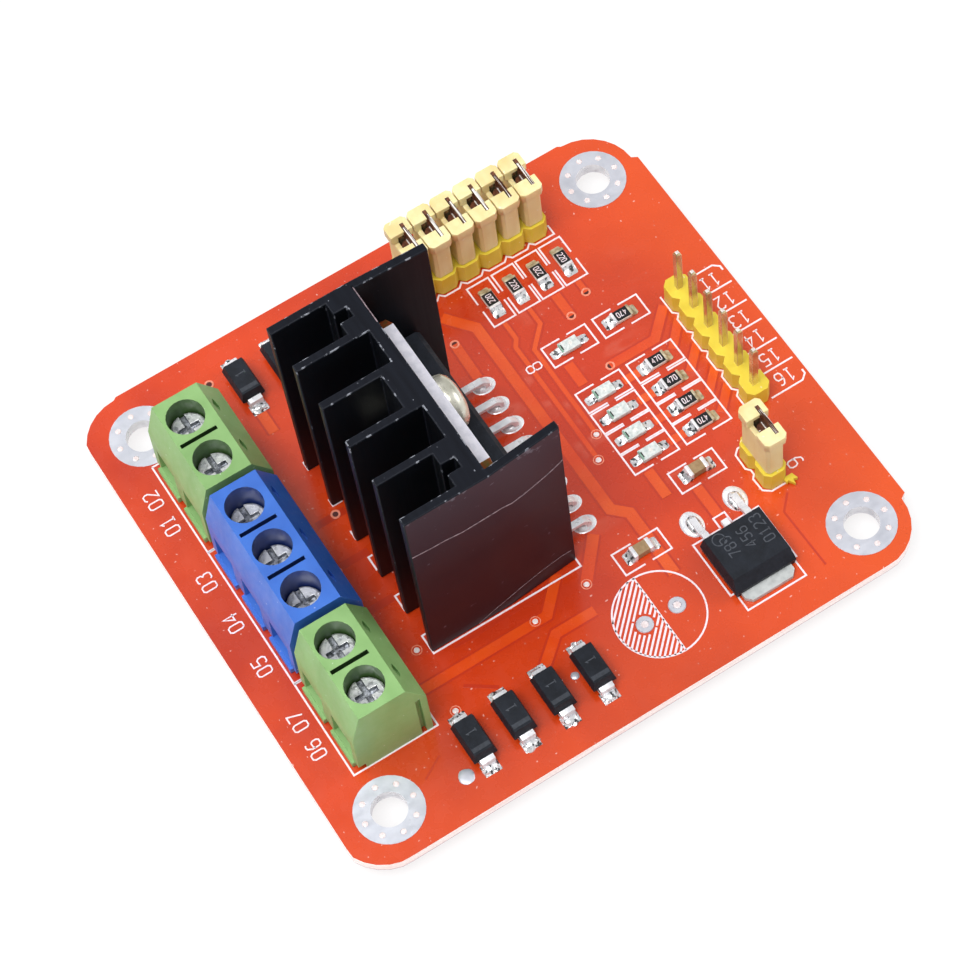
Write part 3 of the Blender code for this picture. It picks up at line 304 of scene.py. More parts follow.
# Folded brass spring in a cap: painted bright highlights along its length, with painted brown shade between
# them
spring_brass = (Finish("folded_brass_spring", "4E2A1A", 0.3, 0.5)
                .patches("F2EEE8", 0.16, 1.0, 0.44, 0.5, stretch=(0.04, 1.0, 0.3)).material)
# Tin-lead solder that flowed by wave: smooth and whitish, with soft dents
solder = plated("wave_flowed_solder", "F8F9FC", "D8DBE4", 0.26, lump=0.8, depth=0.06, metallic=0.2)
# Solder paste that was melted under small parts: bright facets beside painted dark glints, which are painted
# reflections
paste_solder = plated("reflowed_solder_paste", "F6F7F9", "C9CCD2", 0.24, 0.5, 0.06, metallic=0.6, dross=0.9)
# Solder at one end of each resistor: dull yellowish brown, with a little shine
dull_solder = plated("dull_flux_stained_solder", "D2C8AC", "86704A", 0.42, 0.35, 0.03, metallic=0.4)
# Tin-plated leads and legs: brighter and flatter than the solder
tinned = plated("tin_plated_lead", "F6F6FA", "D4D4DA", 0.32, metallic=0.3)
# Zinc-plated steel: bright blue-white with faint stains and painted dark glints, which are painted
# reflections
zinc = plated("zinc_plated_steel", "FAFBFC", "CCD0D8", 0.22, 0.4, 0.045, metallic=0.5, dross=0.5)
# The crossed slots of the terminal screws: the zinc painted darker there as painted shade, with painted dark
# glints
slot_shade = plated("zinc_in_a_screw_slot", "B8BCC4", "4A4E56", 0.28, 0.35, 0.05, metallic=0.6, dross=0.6)
# The tab's pan-head screw: smooth zinc with a pale yellowish cast
pan_zinc = plated("yellowish_zinc_screw", "E2E0D2", "BDBBA8", 0.26, 1.4, metallic=0.55)
# Gold-flashed brass pins: warm silver that mirrors the brown around it
pin_metal = plated("flash_plated_brass_pin", "E2D2A4", "B09A6C", 0.2, 1.2, 0.01, (1.0, 1.0, 0.1), 0.8)
# Sheared pin tips: the pinkish base metal shows, painted nearly white on the tops as a painted highlight
pin_tip_painted_highlight = plated("sheared_pin_tip", "F4ECE8", "D8CCC8", 0.3, metallic=0.3)
# Nickel-plated copper tab: nearly white, with soft brushed reflections
nickel = plated("nickel_plated_copper_tab", "F0EEF8", "D8D8E4", 0.5, 0.5, 0.01, metallic=0.1)
# Regulator tab: matt tin, pale grey
matt_tin = plated("matt_tin_plate", "CDD0CF", "B9BDBC", 0.55, 0.4, 0.008, metallic=0.25)
# Bare copper where the tab was sheared: brown-orange
bare_copper = plated("sheared_copper", "C0562C", "76743E", 0.42, 0.5, metallic=0.3)
# Moulded LED resin: milky, with a soft gloss
led_resin = ceramic("milky_led_resin", "E4E8E6", "BCC6C4", 0.3, 0.35, 0.15, 0.008)
# Plugs in the ring pads' small vias: pinkish white resin
plug_resin = ceramic("pale_via_plug", "EFE4E4", "E0CDCD", 0.4)
# Glass coat screened over a resistor: glossy black
black_glass = ceramic("black_glass_coat", "1B1C1F", "131417", 0.3)
# Fired alumina of a resistor's body: warm white and matt; the same white paints the glints and the lip in the
# caps as painted highlights
alumina_and_painted_glints = ceramic("white_alumina", "EFEDE8", "DEDAD2", 0.45)
# Fired capacitor ceramic: tan, a little glossy
tan_ceramic = ceramic("fired_tan_ceramic", "A88C68", "937651", 0.45)
# Laser marks on epoxy: a grey that hardly stands out
grey_mark = ceramic("laser_marked_epoxy", "4A4F58", "3A3E46", 0.7)
# Cathode band of a diode: a little paler than the moulding
band_mark = ceramic("laser_marked_band", "363B44", "2A2E36", 0.7)
# Scratches through the anodising: pinkish grey, thin
scratch_line = ceramic("scratched_anodising", "9C8A90", "5C4C54", 0.5)
# Printed stripe at an LED's cathode: dull green
green_mark = ceramic("green_polarity_mark", "8FB4A0", "6E9484", 0.5)
# Mask pulled thin over the rim of a via: the pale copper shows through it
via_rim = ceramic("mask_pulled_thin_over_a_rim", "F2A08A", "E87C58", 0.3)
# Inside of a jumper cap, where the plastic and the brass spring are in deep shade
brown_hollow = ceramic("shaded_brown_hollow", "7A4426", "3A1A0E", 0.5)
# Slits between the poles, darkened by their own depth
green_slit = ceramic("shaded_green_slit", "2C4A20", "1E3816", 0.5)
blue_slit = ceramic("shaded_blue_slit", "16306E", "0E2458", 0.5)
# Moulded nylon of the terminals, and the nylon down in the screw wells, painted darker towards the bottom as
# painted shade
green_nylon = moulded("moulded_green_nylon", "8CB673", "80AA67", 0.42)
green_well = well("green_nylon_well", "56803E", "15240E")
blue_nylon = moulded("moulded_blue_nylon", "3C73D2", "3468C6", 0.4)
blue_well = well("blue_nylon_well", "2248A0", "081440")
# Moulded header base: warm yellow that lets a little light in
yellow_plastic = moulded("moulded_yellow_header", "E8D044", "DCC238", 0.42, glow=0.2)
# Moulded jumper cap: pale cream-yellow that glows at its edges, with faint streaks drawn along its height
cap_plastic = moulded("moulded_pale_yellow_cap", "F4E6B0", "E6CE90", 0.45, glow=0.3, drawn=0.25)


# Shapes

# Faces that meet at more than this angle keep a sharp edge between them, in degrees
SHARP = 35.0


def rectangle(x0, x1, y0, y1, *z):
    """Corners of a level rectangle, flat or at a height."""
    return [(x, y, *z) for x, y in ((x0, y0), (x1, y0), (x1, y1), (x0, y1))]


def circle(centre, radius, z, steps):
    """Points round a level circle."""
    return [(centre[0] + radius * cos(tau * i / steps), centre[1] + radius * sin(tau * i / steps), z)
            for i in range(steps)]


def loft(shape, rings, finish=0, capped=True):
    """Joins rings of points into a closed solid, or into a closed tube where its ends meet."""
    made = [[shape.verts.new(point) for point in ring] for ring in rings]
    count = len(made[0])
    following = made[1:] if capped else made[1:] + made[:1]
    corners = [(lower[i], lower[(i + 1) % count], upper[(i + 1) % count], upper[i])
               for lower, upper in zip(made, following) for i in range(count)]
    for points in corners + ([made[0][::-1], made[-1]] if capped else []):
        shape.faces.new(points).material_index = finish
    return made


def rounded(shape, edges, reach, finish):
    """Rounds edges by a reach in millimetres."""
    bmesh.ops.bevel(shape, geom=edges, offset=reach, segments=2, profile=0.5, affect="EDGES",
                    clamp_overlap=True, material=finish)


def block(shape, low, high, finish=0, bevel=0.0):
    """A box between two corners, with its edges rounded."""
    made = loft(shape, [rectangle(low[0], high[0], low[1], high[1], z) for z in (low[2], high[2])], finish)
    if bevel:
        edges = dict.fromkeys(edge for vert in made[0] + made[1] for edge in vert.link_edges)
        rounded(shape, list(edges), bevel, finish)


def ring(shape, centre, inner, outer, low, high, finish, steps):
    """A flat ring with slightly rounded edges."""
    soft = (high - low) * 0.4
    section = [(inner, low), (outer, low), (outer, high - soft), (outer - soft, high), (inner + soft, high),
               (inner, high - soft)]
    circles = [circle(centre, r, z, steps) for r, z in section]
    loft(shape, list(zip(*circles)), finish, capped=False)


def ribbon(shape, points, width, low, high, finish=0, closed=False):
    """A flat band that follows points in X and Y, with mitred corners."""
    ways = [Vector((u - x, v - y)).normalized() for (x, y), (u, v) in zip(points, points[1:] + points[:1])]
    rings = []
    for i, (x, y) in enumerate(points):
        before = ways[i - 1] if closed or i else ways[i]
        after = ways[i] if closed or i < len(points) - 1 else ways[i - 1]
        way = (before + after).normalized()
        reach = width / 2 / max(0.5, way.dot(after))
        u, v = -way.y * reach, way.x * reach
        rings.append([(x + u, y + v, low), (x - u, y - v, low), (x - u, y - v, high), (x + u, y + v, high)])
    loft(shape, rings, finish, capped=not closed)


def dome(shape, centre, radii, low=0.0, finish=0, seed=0.0, lumps=0.0, steps=16, levels=5):
    """A lump of solder on a face: a flattened half ball, made uneven by noise."""
    rings = []
    for level in range(levels):
        rise = pi / 2 * level / levels
        points = []
        for u, v, _ in circle((0.0, 0.0), 1.0, 0.0, steps):
            swell = 1 + lumps * noise(Vector((u * 1.3 + seed, v * 1.3, rise + seed)))
            out = cos(rise) ** 0.8 * swell
            points.append((centre[0] + radii[0] * out * u, centre[1] + radii[1] * out * v,
                           low + radii[2] * sin(rise) * swell))
        rings.append(points)
    loft(shape, rings, finish)


def laid(shape, middle, along="X"):
    """Moves all that is drawn so far to a place on the board, turned along X or Y."""
    turn = Matrix.Rotation(pi / 2 if along == "Y" else 0.0, 4, "Z")
    shape.transform(Matrix.Translation((middle.x, middle.y, 0.0)) @ turn)


def weigh_normals(piece):
    """Keeps each flat face flat in the light, so that only the rounded edges beside it turn."""
    weigh = piece.modifiers.new("face weights", "WEIGHTED_NORMAL")
    weigh.weight = 90
    weigh.keep_sharp = True
    weighed = bpy.data.meshes.new_from_object(piece.evaluated_get(bpy.context.evaluated_depsgraph_get()))
    piece.modifiers.remove(weigh)
    plain, piece.data = piece.data, weighed
    bpy.data.meshes.remove(plain)


def placed(name, data):
    """A new object in the scene."""
    made = bpy.data.objects.new(name, data)
    bpy.context.collection.objects.link(made)
    return made


def mesh_of(name, shape, to_metres, finishes):
    """The mesh of a finished shape."""
    mesh = bpy.data.meshes.new(name)
    shape.transform(to_metres)
    shape.to_mesh(mesh)
    shape.free()
    for finish in finishes:
        mesh.materials.append(finish)
    return mesh


def finish_piece(name, shape, finishes, body="board", replaced=()):
    """Turns a shape's millimetres into the frame's metres, and makes it a piece of the object."""
    shape.normal_update()
    bmesh.ops.recalc_face_normals(shape, faces=shape.faces)
    mesh = mesh_of(name, shape, TO_FRAME, finishes)
    mesh.shade_smooth()
    mesh.set_sharp_from_angle(angle=radians(SHARP))
    piece = placed(name, mesh)
    weigh_normals(piece)
    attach(piece, body)
    if replaced:
        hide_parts(*replaced)


def refined(node, finishes, pick=None, bevel=0.08, edge_finish=-1, body="board", reshape=None):
    """A CAD node with its small triangles merged, its edges rounded and a finish picked for each face."""
    shape = bmesh.new()
    shape.from_mesh(nodes[node].data)
    shape.transform(FROM_FRAME)
    bmesh.ops.remove_doubles(shape, verts=shape.verts, dist=0.002)
    bmesh.ops.dissolve_limit(shape, angle_limit=radians(1.0), verts=shape.verts, edges=shape.edges)
    for f in shape.faces:
        f.material_index = pick(f) if pick else 0
    if bevel:
        sharp = [e for e in shape.edges if e.is_manifold and e.calc_face_angle(0.0) > radians(30)]
        rounded(shape, sharp, bevel, edge_finish)
    if reshape:
        reshape(shape)
    finish_piece(node + "_finished", shape, finishes, body, (node,))


def within(f, middle, reach_x, low_y, high_y):
    """True if a face keeps within these distances from a middle in X and Y."""
    return all(abs(v.co.x - middle[0]) <= reach_x and low_y <= v.co.y - middle[1] <= high_y for v in f.verts)


# Plain digits in the style of a plotter: strokes on a grid one wide and two tall

DIGITS = {
    "0": [[(0.2, 0), (0.8, 0), (1, 0.3), (1, 1.7), (0.8, 2), (0.2, 2), (0, 1.7), (0, 0.3), (0.2, 0)]],
    "1": [[(0.15, 1.6), (0.5, 2), (0.5, 0)], [(0.15, 0), (0.85, 0)]],
    "2": [[(0, 1.7), (0.2, 2), (0.8, 2), (1, 1.7), (1, 1.25), (0, 0), (1, 0)]],
    "3": [[(0, 1.8), (0.2, 2), (0.8, 2), (1, 1.75), (1, 1.3), (0.75, 1.05), (1, 0.8), (1, 0.25), (0.8, 0),
           (0.2, 0), (0, 0.2)]],
    "4": [[(0.75, 0), (0.75, 2), (0, 0.6), (1, 0.6)]],
    "5": [[(1, 2), (0.1, 2), (0, 1.1), (0.75, 1.15), (1, 0.85), (1, 0.3), (0.75, 0), (0.2, 0), (0, 0.25)]],
    "6": [[(0.9, 1.9), (0.6, 2), (0.3, 1.9), (0, 1.3), (0, 0.3), (0.2, 0), (0.8, 0), (1, 0.3), (1, 0.8),
           (0.8, 1.1), (0.2, 1.1), (0, 0.85)]],
    "7": [[(0, 2), (1, 2), (0.35, 0)]],
    "8": [[(0.25, 1.05), (0, 0.8), (0, 0.25), (0.2, 0), (0.8, 0), (1, 0.25), (1, 0.8), (0.75, 1.05),
           (0.25, 1.05), (0, 1.3), (0, 1.75), (0.2, 2), (0.8, 2), (1, 1.75), (1, 1.3), (0.75, 1.05)]],
    "9": [[(0.1, 0.1), (0.4, 0), (0.7, 0.1), (1, 0.7), (1, 1.7), (0.8, 2), (0.2, 2), (0, 1.7), (0, 1.2),
           (0.2, 0.9), (0.8, 0.9), (1, 1.15)]],
}
DIGIT_ADVANCE = 1.55


def numbers(shape, text, middle, height, turn, line, low, high, finish=0, wide=1.0):
    """Strokes of a short number, centred on a point and turned by an angle in degrees."""
    unit = height / 2
    span = (DIGIT_ADVANCE * (len(text) - 1) + 1) * unit * wide
    c, s = cos(radians(turn)), sin(radians(turn))
    for i, sign in enumerate(text):
        for stroke in DIGITS.get(sign, []):
            grid = [((u + DIGIT_ADVANCE * i) * unit * wide - span / 2, v * unit - height / 2)
                    for u, v in stroke]
            points = [(middle[0] + x * c - y * s, middle[1] + x * s + y * c) for x, y in grid]
            ribbon(shape, points, line, low, high, finish)


# Board

# Walls beyond these distances from the middle are the board's edge; holes and ring pads end at these radii
EDGE_X, EDGE_Y = 26.0, 27.9
HOLE_REACH, PAD_REACH = 1.9, 3.5
MASK, TIN, EDGE, BARREL = range(4)


def board_face(f):
    """Finish of a board face: mask, ring pad, sawn edge or plated hole wall."""
    middle = f.calc_center_median()
    off = min(hypot(middle.x - x, middle.y - y) for x, y in MOUNTS)
    if abs(f.normal.z) > 0.5:
        return TIN if middle.z > PAD_PROUD / 2 or middle.z < -BOARD_THICK - PAD_PROUD / 2 else MASK
    if off < PAD_REACH:
        return BARREL if off < HOLE_REACH else TIN
    return EDGE if abs(middle.x) > EDGE_X or abs(middle.y) > EDGE_Y else BARREL


# Soldered places

# The driver chip's leads
LEAD_COUNT, LEAD_STEP, LEAD_ROW_GAP, LEAD_THICK = 15, 1.27, 5.08, 0.5
# Distance in Y from a terminal screw to the leg of its pole
LEG_BEHIND_SCREW = 2.25


def lead_rows():
    """Places of the driver chip's leads in the board: the front row and the back row."""
    low, high = box_of("driver_chip")
    front_y = high.y - LEAD_THICK / 2
    first = (low.x + high.x) / 2 - LEAD_STEP * (LEAD_COUNT - 1) / 2
    places = [(first + LEAD_STEP * i, front_y - LEAD_ROW_GAP * (i % 2)) for i in range(LEAD_COUNT)]
    return places[::2], places[1::2]


def header_pins(name):
    """Places of a header's pins, from the size of its base."""
    low, high = box_of(name)
    across = max(1, round((high.x - low.x) / PITCH))
    deep = max(1, round((high.y - low.y) / PITCH))
    middle = (low + high) / 2
    return [(middle.x + PITCH * (i - (across - 1) / 2), middle.y + PITCH * (j - (deep - 1) / 2))
            for i in range(across) for j in range(deep)]


FRONT_LEADS, BACK_LEADS = lead_rows()
TERMINAL_LEGS = [(middle_of(name).x, middle_of(name).y + LEG_BEHIND_SCREW)
                 for name in nodes if "_screw_" in name]
CONTROL_PINS = header_pins("control_header")
BANK_PINS = header_pins("jumper_header")
SUPPLY_PINS = header_pins("supply_header")
SPARE_HOLES = [(20.35, 6.8), (20.35, 3.3)]
ALL_LEADS = FRONT_LEADS + BACK_LEADS + TERMINAL_LEGS + CONTROL_PINS + BANK_PINS + SUPPLY_PINS


def new_tree(name, sizes):
    """A Geometry Nodes tree with named inputs for its sizes; returns it, its inputs and its output."""
    tree = bpy.data.node_groups.new(name, "GeometryNodeTree")
    for way in ("INPUT", "OUTPUT"):
        tree.interface.new_socket(name="Geometry", in_out=way, socket_type="NodeSocketGeometry")
    kinds = {int: "NodeSocketInt", float: "NodeSocketFloat"}
    for label, value in sizes.items():
        kind = kinds.get(type(value), "NodeSocketMaterial")
        socket = tree.interface.new_socket(name=label, in_out="INPUT", socket_type=kind)
        if type(value) in kinds:
            socket.default_value = value
    return tree, tree.nodes.new("NodeGroupInput").outputs, tree.nodes.new("NodeGroupOutput").inputs[0]


def on_points(tree, points, instance, **more):
    """Puts an instance on every point."""
    inputs = {"Points": points, "Instance": instance, **more}
    return add(tree, "GeometryNodeInstanceOnPoints", inputs).outputs[0]


def finish_tree(tree, geometry, material, output):
    """Ends a tree in Realize Instances and Set Material."""
    whole = add(tree, "GeometryNodeRealizeInstances", {0: geometry}).outputs[0]
    smooth = add(tree, "GeometryNodeSetShadeSmooth", {0: whole}).outputs[0]
    painted = add(tree, "GeometryNodeSetMaterial", {"Geometry": smooth, "Material": material}).outputs[0]
    tree.links.new(painted, output)
    return tree


def make_joint_tree():
    """Solder joints on points: a cone that narrows to the lead, each a little wider or taller than the next.

    The cones hang down, so their height is negative and their faces are flipped to look outwards again.
    """
    sizes = {"Foot radius": 0.8, "Tip radius": 0.3, "Height": -1.0, "Unevenness": 0.1, "Seed": 1,
             "Finish": None}
    tree, given, output = new_tree("solder_joints", sizes)
    cone = {"Vertices": 16, "Side Segments": 3, "Fill Segments": 1, "Radius Top": given["Tip radius"],
            "Radius Bottom": given["Foot radius"], "Depth": given["Height"]}
    joint = add(tree, "GeometryNodeMeshCone", cone, fill_type="TRIANGLE_FAN").outputs["Mesh"]
    joint = add(tree, "GeometryNodeFlipFaces", {"Mesh": joint}).outputs["Mesh"]
    least, most = [maths(tree, way, 1.0, given["Unevenness"]) for way in ("SUBTRACT", "ADD")]
    limits = {2: least, 3: most, "Seed": given["Seed"]}
    spread = add(tree, "FunctionNodeRandomValue", limits, data_type="FLOAT")
    joints = on_points(tree, given["Geometry"], joint, Scale=spread.outputs[1])
    return finish_tree(tree, joints, given["Finish"], output)


def make_plug_tree():
    """Rings of small round plugs: a count of them on a circle round every point."""
    sizes = {"Count": 8, "Ring radius": 2.5, "Plug radius": 0.25, "Plug height": 0.05, "Finish": None}
    tree, given, output = new_tree("plug_rings", sizes)
    path = {"Vertices": given["Count"], "Radius": given["Ring radius"]}
    spots = add(tree, "GeometryNodeMeshCircle", path, fill_type="NONE").outputs["Mesh"]
    ball = add(tree, "GeometryNodeMeshUVSphere", {"Segments": 12, "Rings": 6, "Radius": 1.0}).outputs["Mesh"]
    reach = given["Plug radius"]
    flat = add(tree, "ShaderNodeCombineXYZ", {0: reach, 1: reach, 2: given["Plug height"]}).outputs[0]
    plugs = on_points(tree, spots, ball, Scale=flat)
    return finish_tree(tree, on_points(tree, given["Geometry"], plugs), given["Finish"], output)


def grown(name, points, tree, **values):
    """Runs a tree on points in millimetres, and keeps the result as a plain mesh that rides on the board."""
    seeds = bpy.data.meshes.new(name + "_points")
    seeds.from_pydata(points, [], [])
    carrier = placed(name + "_carrier", seeds)
    step = carrier.modifiers.new(name, "NODES")
    step.node_group = tree
    for item in tree.interface.items_tree:
        label = item.name.replace(" ", "_")
        if item.item_type == "SOCKET" and item.in_out == "INPUT" and label in values:
            step[item.identifier] = values[label]
    mesh = bpy.data.meshes.new_from_object(carrier.evaluated_get(bpy.context.evaluated_depsgraph_get()))
    bpy.data.objects.remove(carrier, do_unlink=True)
    mesh.transform(TO_FRAME)
    piece = placed(name, mesh)
    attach(piece, "board")


def make_board():
    """The laminate, solder cones round every lead below it, and eight plugs in each ring pad."""
    refined("circuit_board", [solder_mask, ring_tin, board_edge, tinned], board_face, bevel=0.0)
    under = [(x, y, -BOARD_THICK) for x, y in ALL_LEADS]
    grown("lead_joints_underside", under, make_joint_tree(), Foot_radius=0.85, Tip_radius=0.34, Height=-1.1,
          Unevenness=0.12, Seed=4, Finish=solder)
    faces = [(x, y, z) for x, y in MOUNTS for z in (PAD_PROUD, -BOARD_THICK - PAD_PROUD)]
    grown("ring_pad_plugs", faces, make_plug_tree(), Count=8, Ring_radius=2.5, Plug_radius=0.3,
          Plug_height=0.045, Finish=plug_resin)


# Heatsink, chip and screw

SINK_HIGH = box_of("heatsink")[1]
# Faces this close to the heatsink's +X side belong to its outer wall
SINK_WALL_BAND = 0.9
# The +X wall is straight up to this Y and then leans inwards by so much
WALL_BENDS_AT, WALL_LEAN = -5.7, 0.65
# Points in Y and Z along the scratches, and in X and Y along the rubbed edge
SCRATCH = ((-14.1, 19.05), (-12.2, 18.82), (-10.8, 18.75), (-9.1, 18.45), (-7.3, 18.5), (-5.7, 18.55),
           (-5.1, 18.5), (-4.0, 18.1), (-2.6, 18.2), (-0.4, 18.65), (0.6, 18.95), (1.6, 19.4))
LOWER_SCRATCH = ((-9.2, 0.2), (-7.3, 1.1), (-5.7, 1.75), (-4.4, 2.05), (-2.2, 2.4), (0.2, 2.5), (1.3, 2.3))
RUBBED_EDGE = [(-10.9, -5.8), (-9.4, -5.78), (-8.2, -5.8), (-6.5, -5.78)]
# Where the chip's body begins, and the widest face of a lead
CHIP_LIFT, LEAD_WIDTH = 3.3, 0.75


def sink_face(f):
    """Sawn ends at the top and bottom, the outer wall at +X with its bloom and painted sheen, and anodised
    walls elsewhere.
    """
    if abs(f.normal.z) > 0.9:
        return 1
    return 3 if f.normal.x > 0.8 and f.calc_center_median().x > SINK_HIGH.x - SINK_WALL_BAND else 0


def scratch(shape, points, width):
    """A thin pale line on the +X wall, through points in Y and Z."""
    for (y0, z0), (y1, z1) in zip(points, points[1:]):
        corners = []
        for y, z in ((y0, z0), (y1, z1), (y1, z1 + width), (y0, z0 + width)):
            lean = max(0.0, y - WALL_BENDS_AT) / (SINK_HIGH.y - WALL_BENDS_AT) * WALL_LEAN
            corners.append((SINK_HIGH.x - lean, y, z))
        loft(shape, [[(x + out, y, z) for x, y, z in corners] for out in (-0.05, 0.02)])


def make_heatsink():
    """The extrusion with rubbed edges, and the scratches across its +X wall."""
    refined("heatsink", [anodised, sawn_end, worn_edge, bloomed_wall_painted_sheen], sink_face, bevel=0.12, edge_finish=2)
    shape = bmesh.new()
    scratch(shape, SCRATCH, 0.15)
    scratch(shape, LOWER_SCRATCH, 0.07)
    ribbon(shape, RUBBED_EDGE, 0.12, SINK_HIGH.z - 0.05, SINK_HIGH.z)
    finish_piece("heatsink_scratches", shape, [scratch_line])


def chip_face(f):
    """Moulded body above the leads, tinned metal on the leads and below."""
    xs = [v.co.x for v in f.verts]
    low = min(v.co.z for v in f.verts)
    return 0 if low > CHIP_LIFT - 0.02 and max(xs) - min(xs) >= LEAD_WIDTH else 1


def tab_face(f):
    """Nickel on the broad faces, bare copper on the sheared corners."""
    return 1 if 0.2 < abs(f.normal.z) < 0.95 and abs(f.normal.y) < 0.2 else 0


def make_chip():
    """The driver chip with its leads, its tab, and the screw that holds it."""
    refined("driver_chip", [epoxy, tinned], chip_face, bevel=0.05)
    refined("driver_chip_tab", [nickel, bare_copper], tab_face, bevel=0.06)
    refined("heatsink_screw", [pan_zinc], bevel=0.04)


# Terminals

# How far a screw's well and a slit between two poles reach from their middles
WELL_REACH, SLIT_REACH = 2.4, 0.5
SLIT_FLOOR, SLIT_TOP = 7.0, 9.9
# The terminals' pole pitch
POLE = 5.08
# A screw's head, and how far below its top the crossed slots begin and end
SCREW_HEAD_REACH, SLOT_TOP, SLOT_FLOOR = 1.4, 0.08, 0.7


def terminal_face(poles):
    """Picks nylon, tinned legs, the shaded wells or the slits between the poles, from the screws' places."""
    between_poles = [x + POLE / 2 for x, _ in poles]

    def pick(f):
        middle = f.calc_center_median()
        if all(v.co.z < 0.04 for v in f.verts) and f.calc_area() < 3.0 and not abs(f.normal.z) > 0.9:
            return 1
        for x, y in poles:
            inward = Vector((x - middle.x, y - middle.y, 0.0))
            if inward.length < WELL_REACH and f.normal.dot(inward) > 0.7 * inward.length:
                return 2
        in_slit = any(all(abs(v.co.x - x) < SLIT_REACH for v in f.verts) for x in between_poles)
        return 3 if in_slit and SLIT_FLOOR < middle.z < SLIT_TOP else 0
    return pick


def screw_face(node):
    """Picks bright zinc, or the shade in the crossed slots of a screw's head."""
    top, middle = box_of(node)[1].z, middle_of(node)

    def pick(f):
        spot = f.calc_center_median()
        if "_screw_" not in node or hypot(spot.x - middle.x, spot.y - middle.y) > SCREW_HEAD_REACH:
            return 0
        return 1 if top - SLOT_FLOOR < min(spot.z, f.verts[0].co.z) and spot.z < top - SLOT_TOP else 0
    return pick


def make_terminals():
    """The three housings, and the screw and clamp of each pole."""
    green, blue = (green_nylon, tinned, green_well, green_slit), (blue_nylon, tinned, blue_well, blue_slit)
    for name, finishes in (("terminal_left", green), ("terminal_middle", blue), ("terminal_right", green)):
        parts = [node for node in nodes if node.startswith(name + "_")]
        poles = [(middle_of(node).x, middle_of(node).y) for node in parts if "_screw_" in node]
        refined(name, finishes, terminal_face(poles), bevel=0.1)
        for node in parts:
            body = node.replace("terminal_", "")
            refined(node, [zinc, slot_shade], screw_face(node), bevel=0.05, body=body)


# Headers and caps

# Faces this close to a pin's middle belong to the pin
PIN_REACH = 0.36
# The metal clip in a cap's wall: its half width, and where it begins and ends in Y
CLIP_X, CLIP_NEAR, CLIP_FAR = 1.67, 0.38, 0.77
# The collar's depth, the ledge below it, and the step by which the cap is thinner under it
CAP_COLLAR, CAP_LEDGE, CAP_STEP = 1.1, 0.06, 0.17
# Half sizes in X and Y beyond which a cap's outer walls lie, and of its bore
CAP_OUTSIDE = (2.05, 0.8)
CAP_BORE = (2.02, 0.68)
# The spring in a cap, by depths below the cap's top: its tongue's outline, its dark folds and its bright lip;
# the tongue and folds are painted shade, the lip a painted highlight
PAINTED_SHADE_FOLDS = [((-1.72, 0.36, 0.2), (-1.25, 0.79, 0.01), 0, 0.02),
           ((-0.8, 0.2, 1.5), (-0.72, 0.42, 0.15), 0, 0.01)]
PAINTED_LIT_LIP = [((-0.72, 0.3, 1.52), (0.7, 0.4, 1.4), 1, 0.02)]
SHADED_TONGUE = ((-0.76, 0.4), (-0.76, 0.0), (-0.2, -0.6), (0.76, -0.63), (0.76, 0.4))
# Outline of the moulding flash beside the supply header
FLASH = ((15.2, 21.9), (15.8, 22.0), (15.65, 22.2), (16.3, 22.6), (15.8, 22.65), (15.9, 23.1), (15.2, 22.9))


def make_headers():
    """The three headers with their pins, whose sheared tips show the base metal, painted pale as a painted
    highlight.
    """
    for part, pins in (("control", CONTROL_PINS), ("jumper", BANK_PINS), ("supply", SUPPLY_PINS)):
        def pick(f):
            if not any(within(f, pin, PIN_REACH, -PIN_REACH, PIN_REACH) for pin in pins):
                return 0
            return 2 if f.normal.z > 0.9 and f.verts[0].co.z > 5 else 1
        refined(part + "_header", [yellow_plastic, pin_metal, pin_tip_painted_highlight], pick, bevel=0.07)


def make_cap(node, body):
    """A jumper cap with its metal clip, a collar that stands proud at its top, and its bore in deep shade."""
    middle = middle_of(node)
    top = box_of(node)[1].z

    def pick(f):
        if within(f, middle, CLIP_X, CLIP_NEAR, CLIP_FAR):
            return 1 if max(f.normal.z, f.normal.y) > 0.7 else 2
        return 2 if within(f, middle, CAP_BORE[0], -CAP_BORE[1], CAP_BORE[1]) else 0

    def collared(shape):
        for depth in (CAP_COLLAR, CAP_COLLAR + CAP_LEDGE):
            whole = list(shape.verts) + list(shape.edges) + list(shape.faces)
            bmesh.ops.bisect_plane(shape, geom=whole, plane_co=(0.0, 0.0, top - depth),
                                   plane_no=(0.0, 0.0, 1.0))
        for v in shape.verts:
            off = v.co - middle
            outside = abs(off.x) > CAP_OUTSIDE[0] or abs(off.y) > CAP_OUTSIDE[1]
            if outside and v.co.z < top - CAP_COLLAR - CAP_LEDGE / 2:
                v.co.x -= CAP_STEP * off.x / CAP_OUTSIDE[0]
                v.co.y -= CAP_STEP * off.y / CAP_OUTSIDE[1]
    refined(node, [cap_plastic, spring_brass, brown_hollow], pick, body=body, reshape=collared)
    make_contact(node, body, middle, top)


def make_contact(node, body, middle, top):
    """The brass spring inside a cap, seen through its open top: a folded tongue painted dark as painted
    shade, with a few painted glints.
    """
    shape = bmesh.new()
    # Painted shade: the tongue is a dark sheet in the cap's bore
    loft(shape, [[(u, v, top - depth) for u, v in SHADED_TONGUE] for depth in (2.0, 1.5)])
    # Painted highlights: small white glints
    painted_glints = [((u - 0.05, v - long / 2, 1.52), (u + 0.05, v + long / 2, 1.46), 1, 0.01)
              for u, v, long in ((-0.05, -0.3, 0.3), (0.22, -0.36, 0.34), (0.5, -0.4, 0.26))]
    for (x0, y0, below), (x1, y1, above), finish, bevel in PAINTED_SHADE_FOLDS + painted_glints + PAINTED_LIT_LIP:
        block(shape, (x0, y0, top - below), (x1, y1, top - above), finish, bevel)
    laid(shape, middle)
    finish_piece(node + "_contact", shape, [brown_hollow, alumina_and_painted_glints], body)


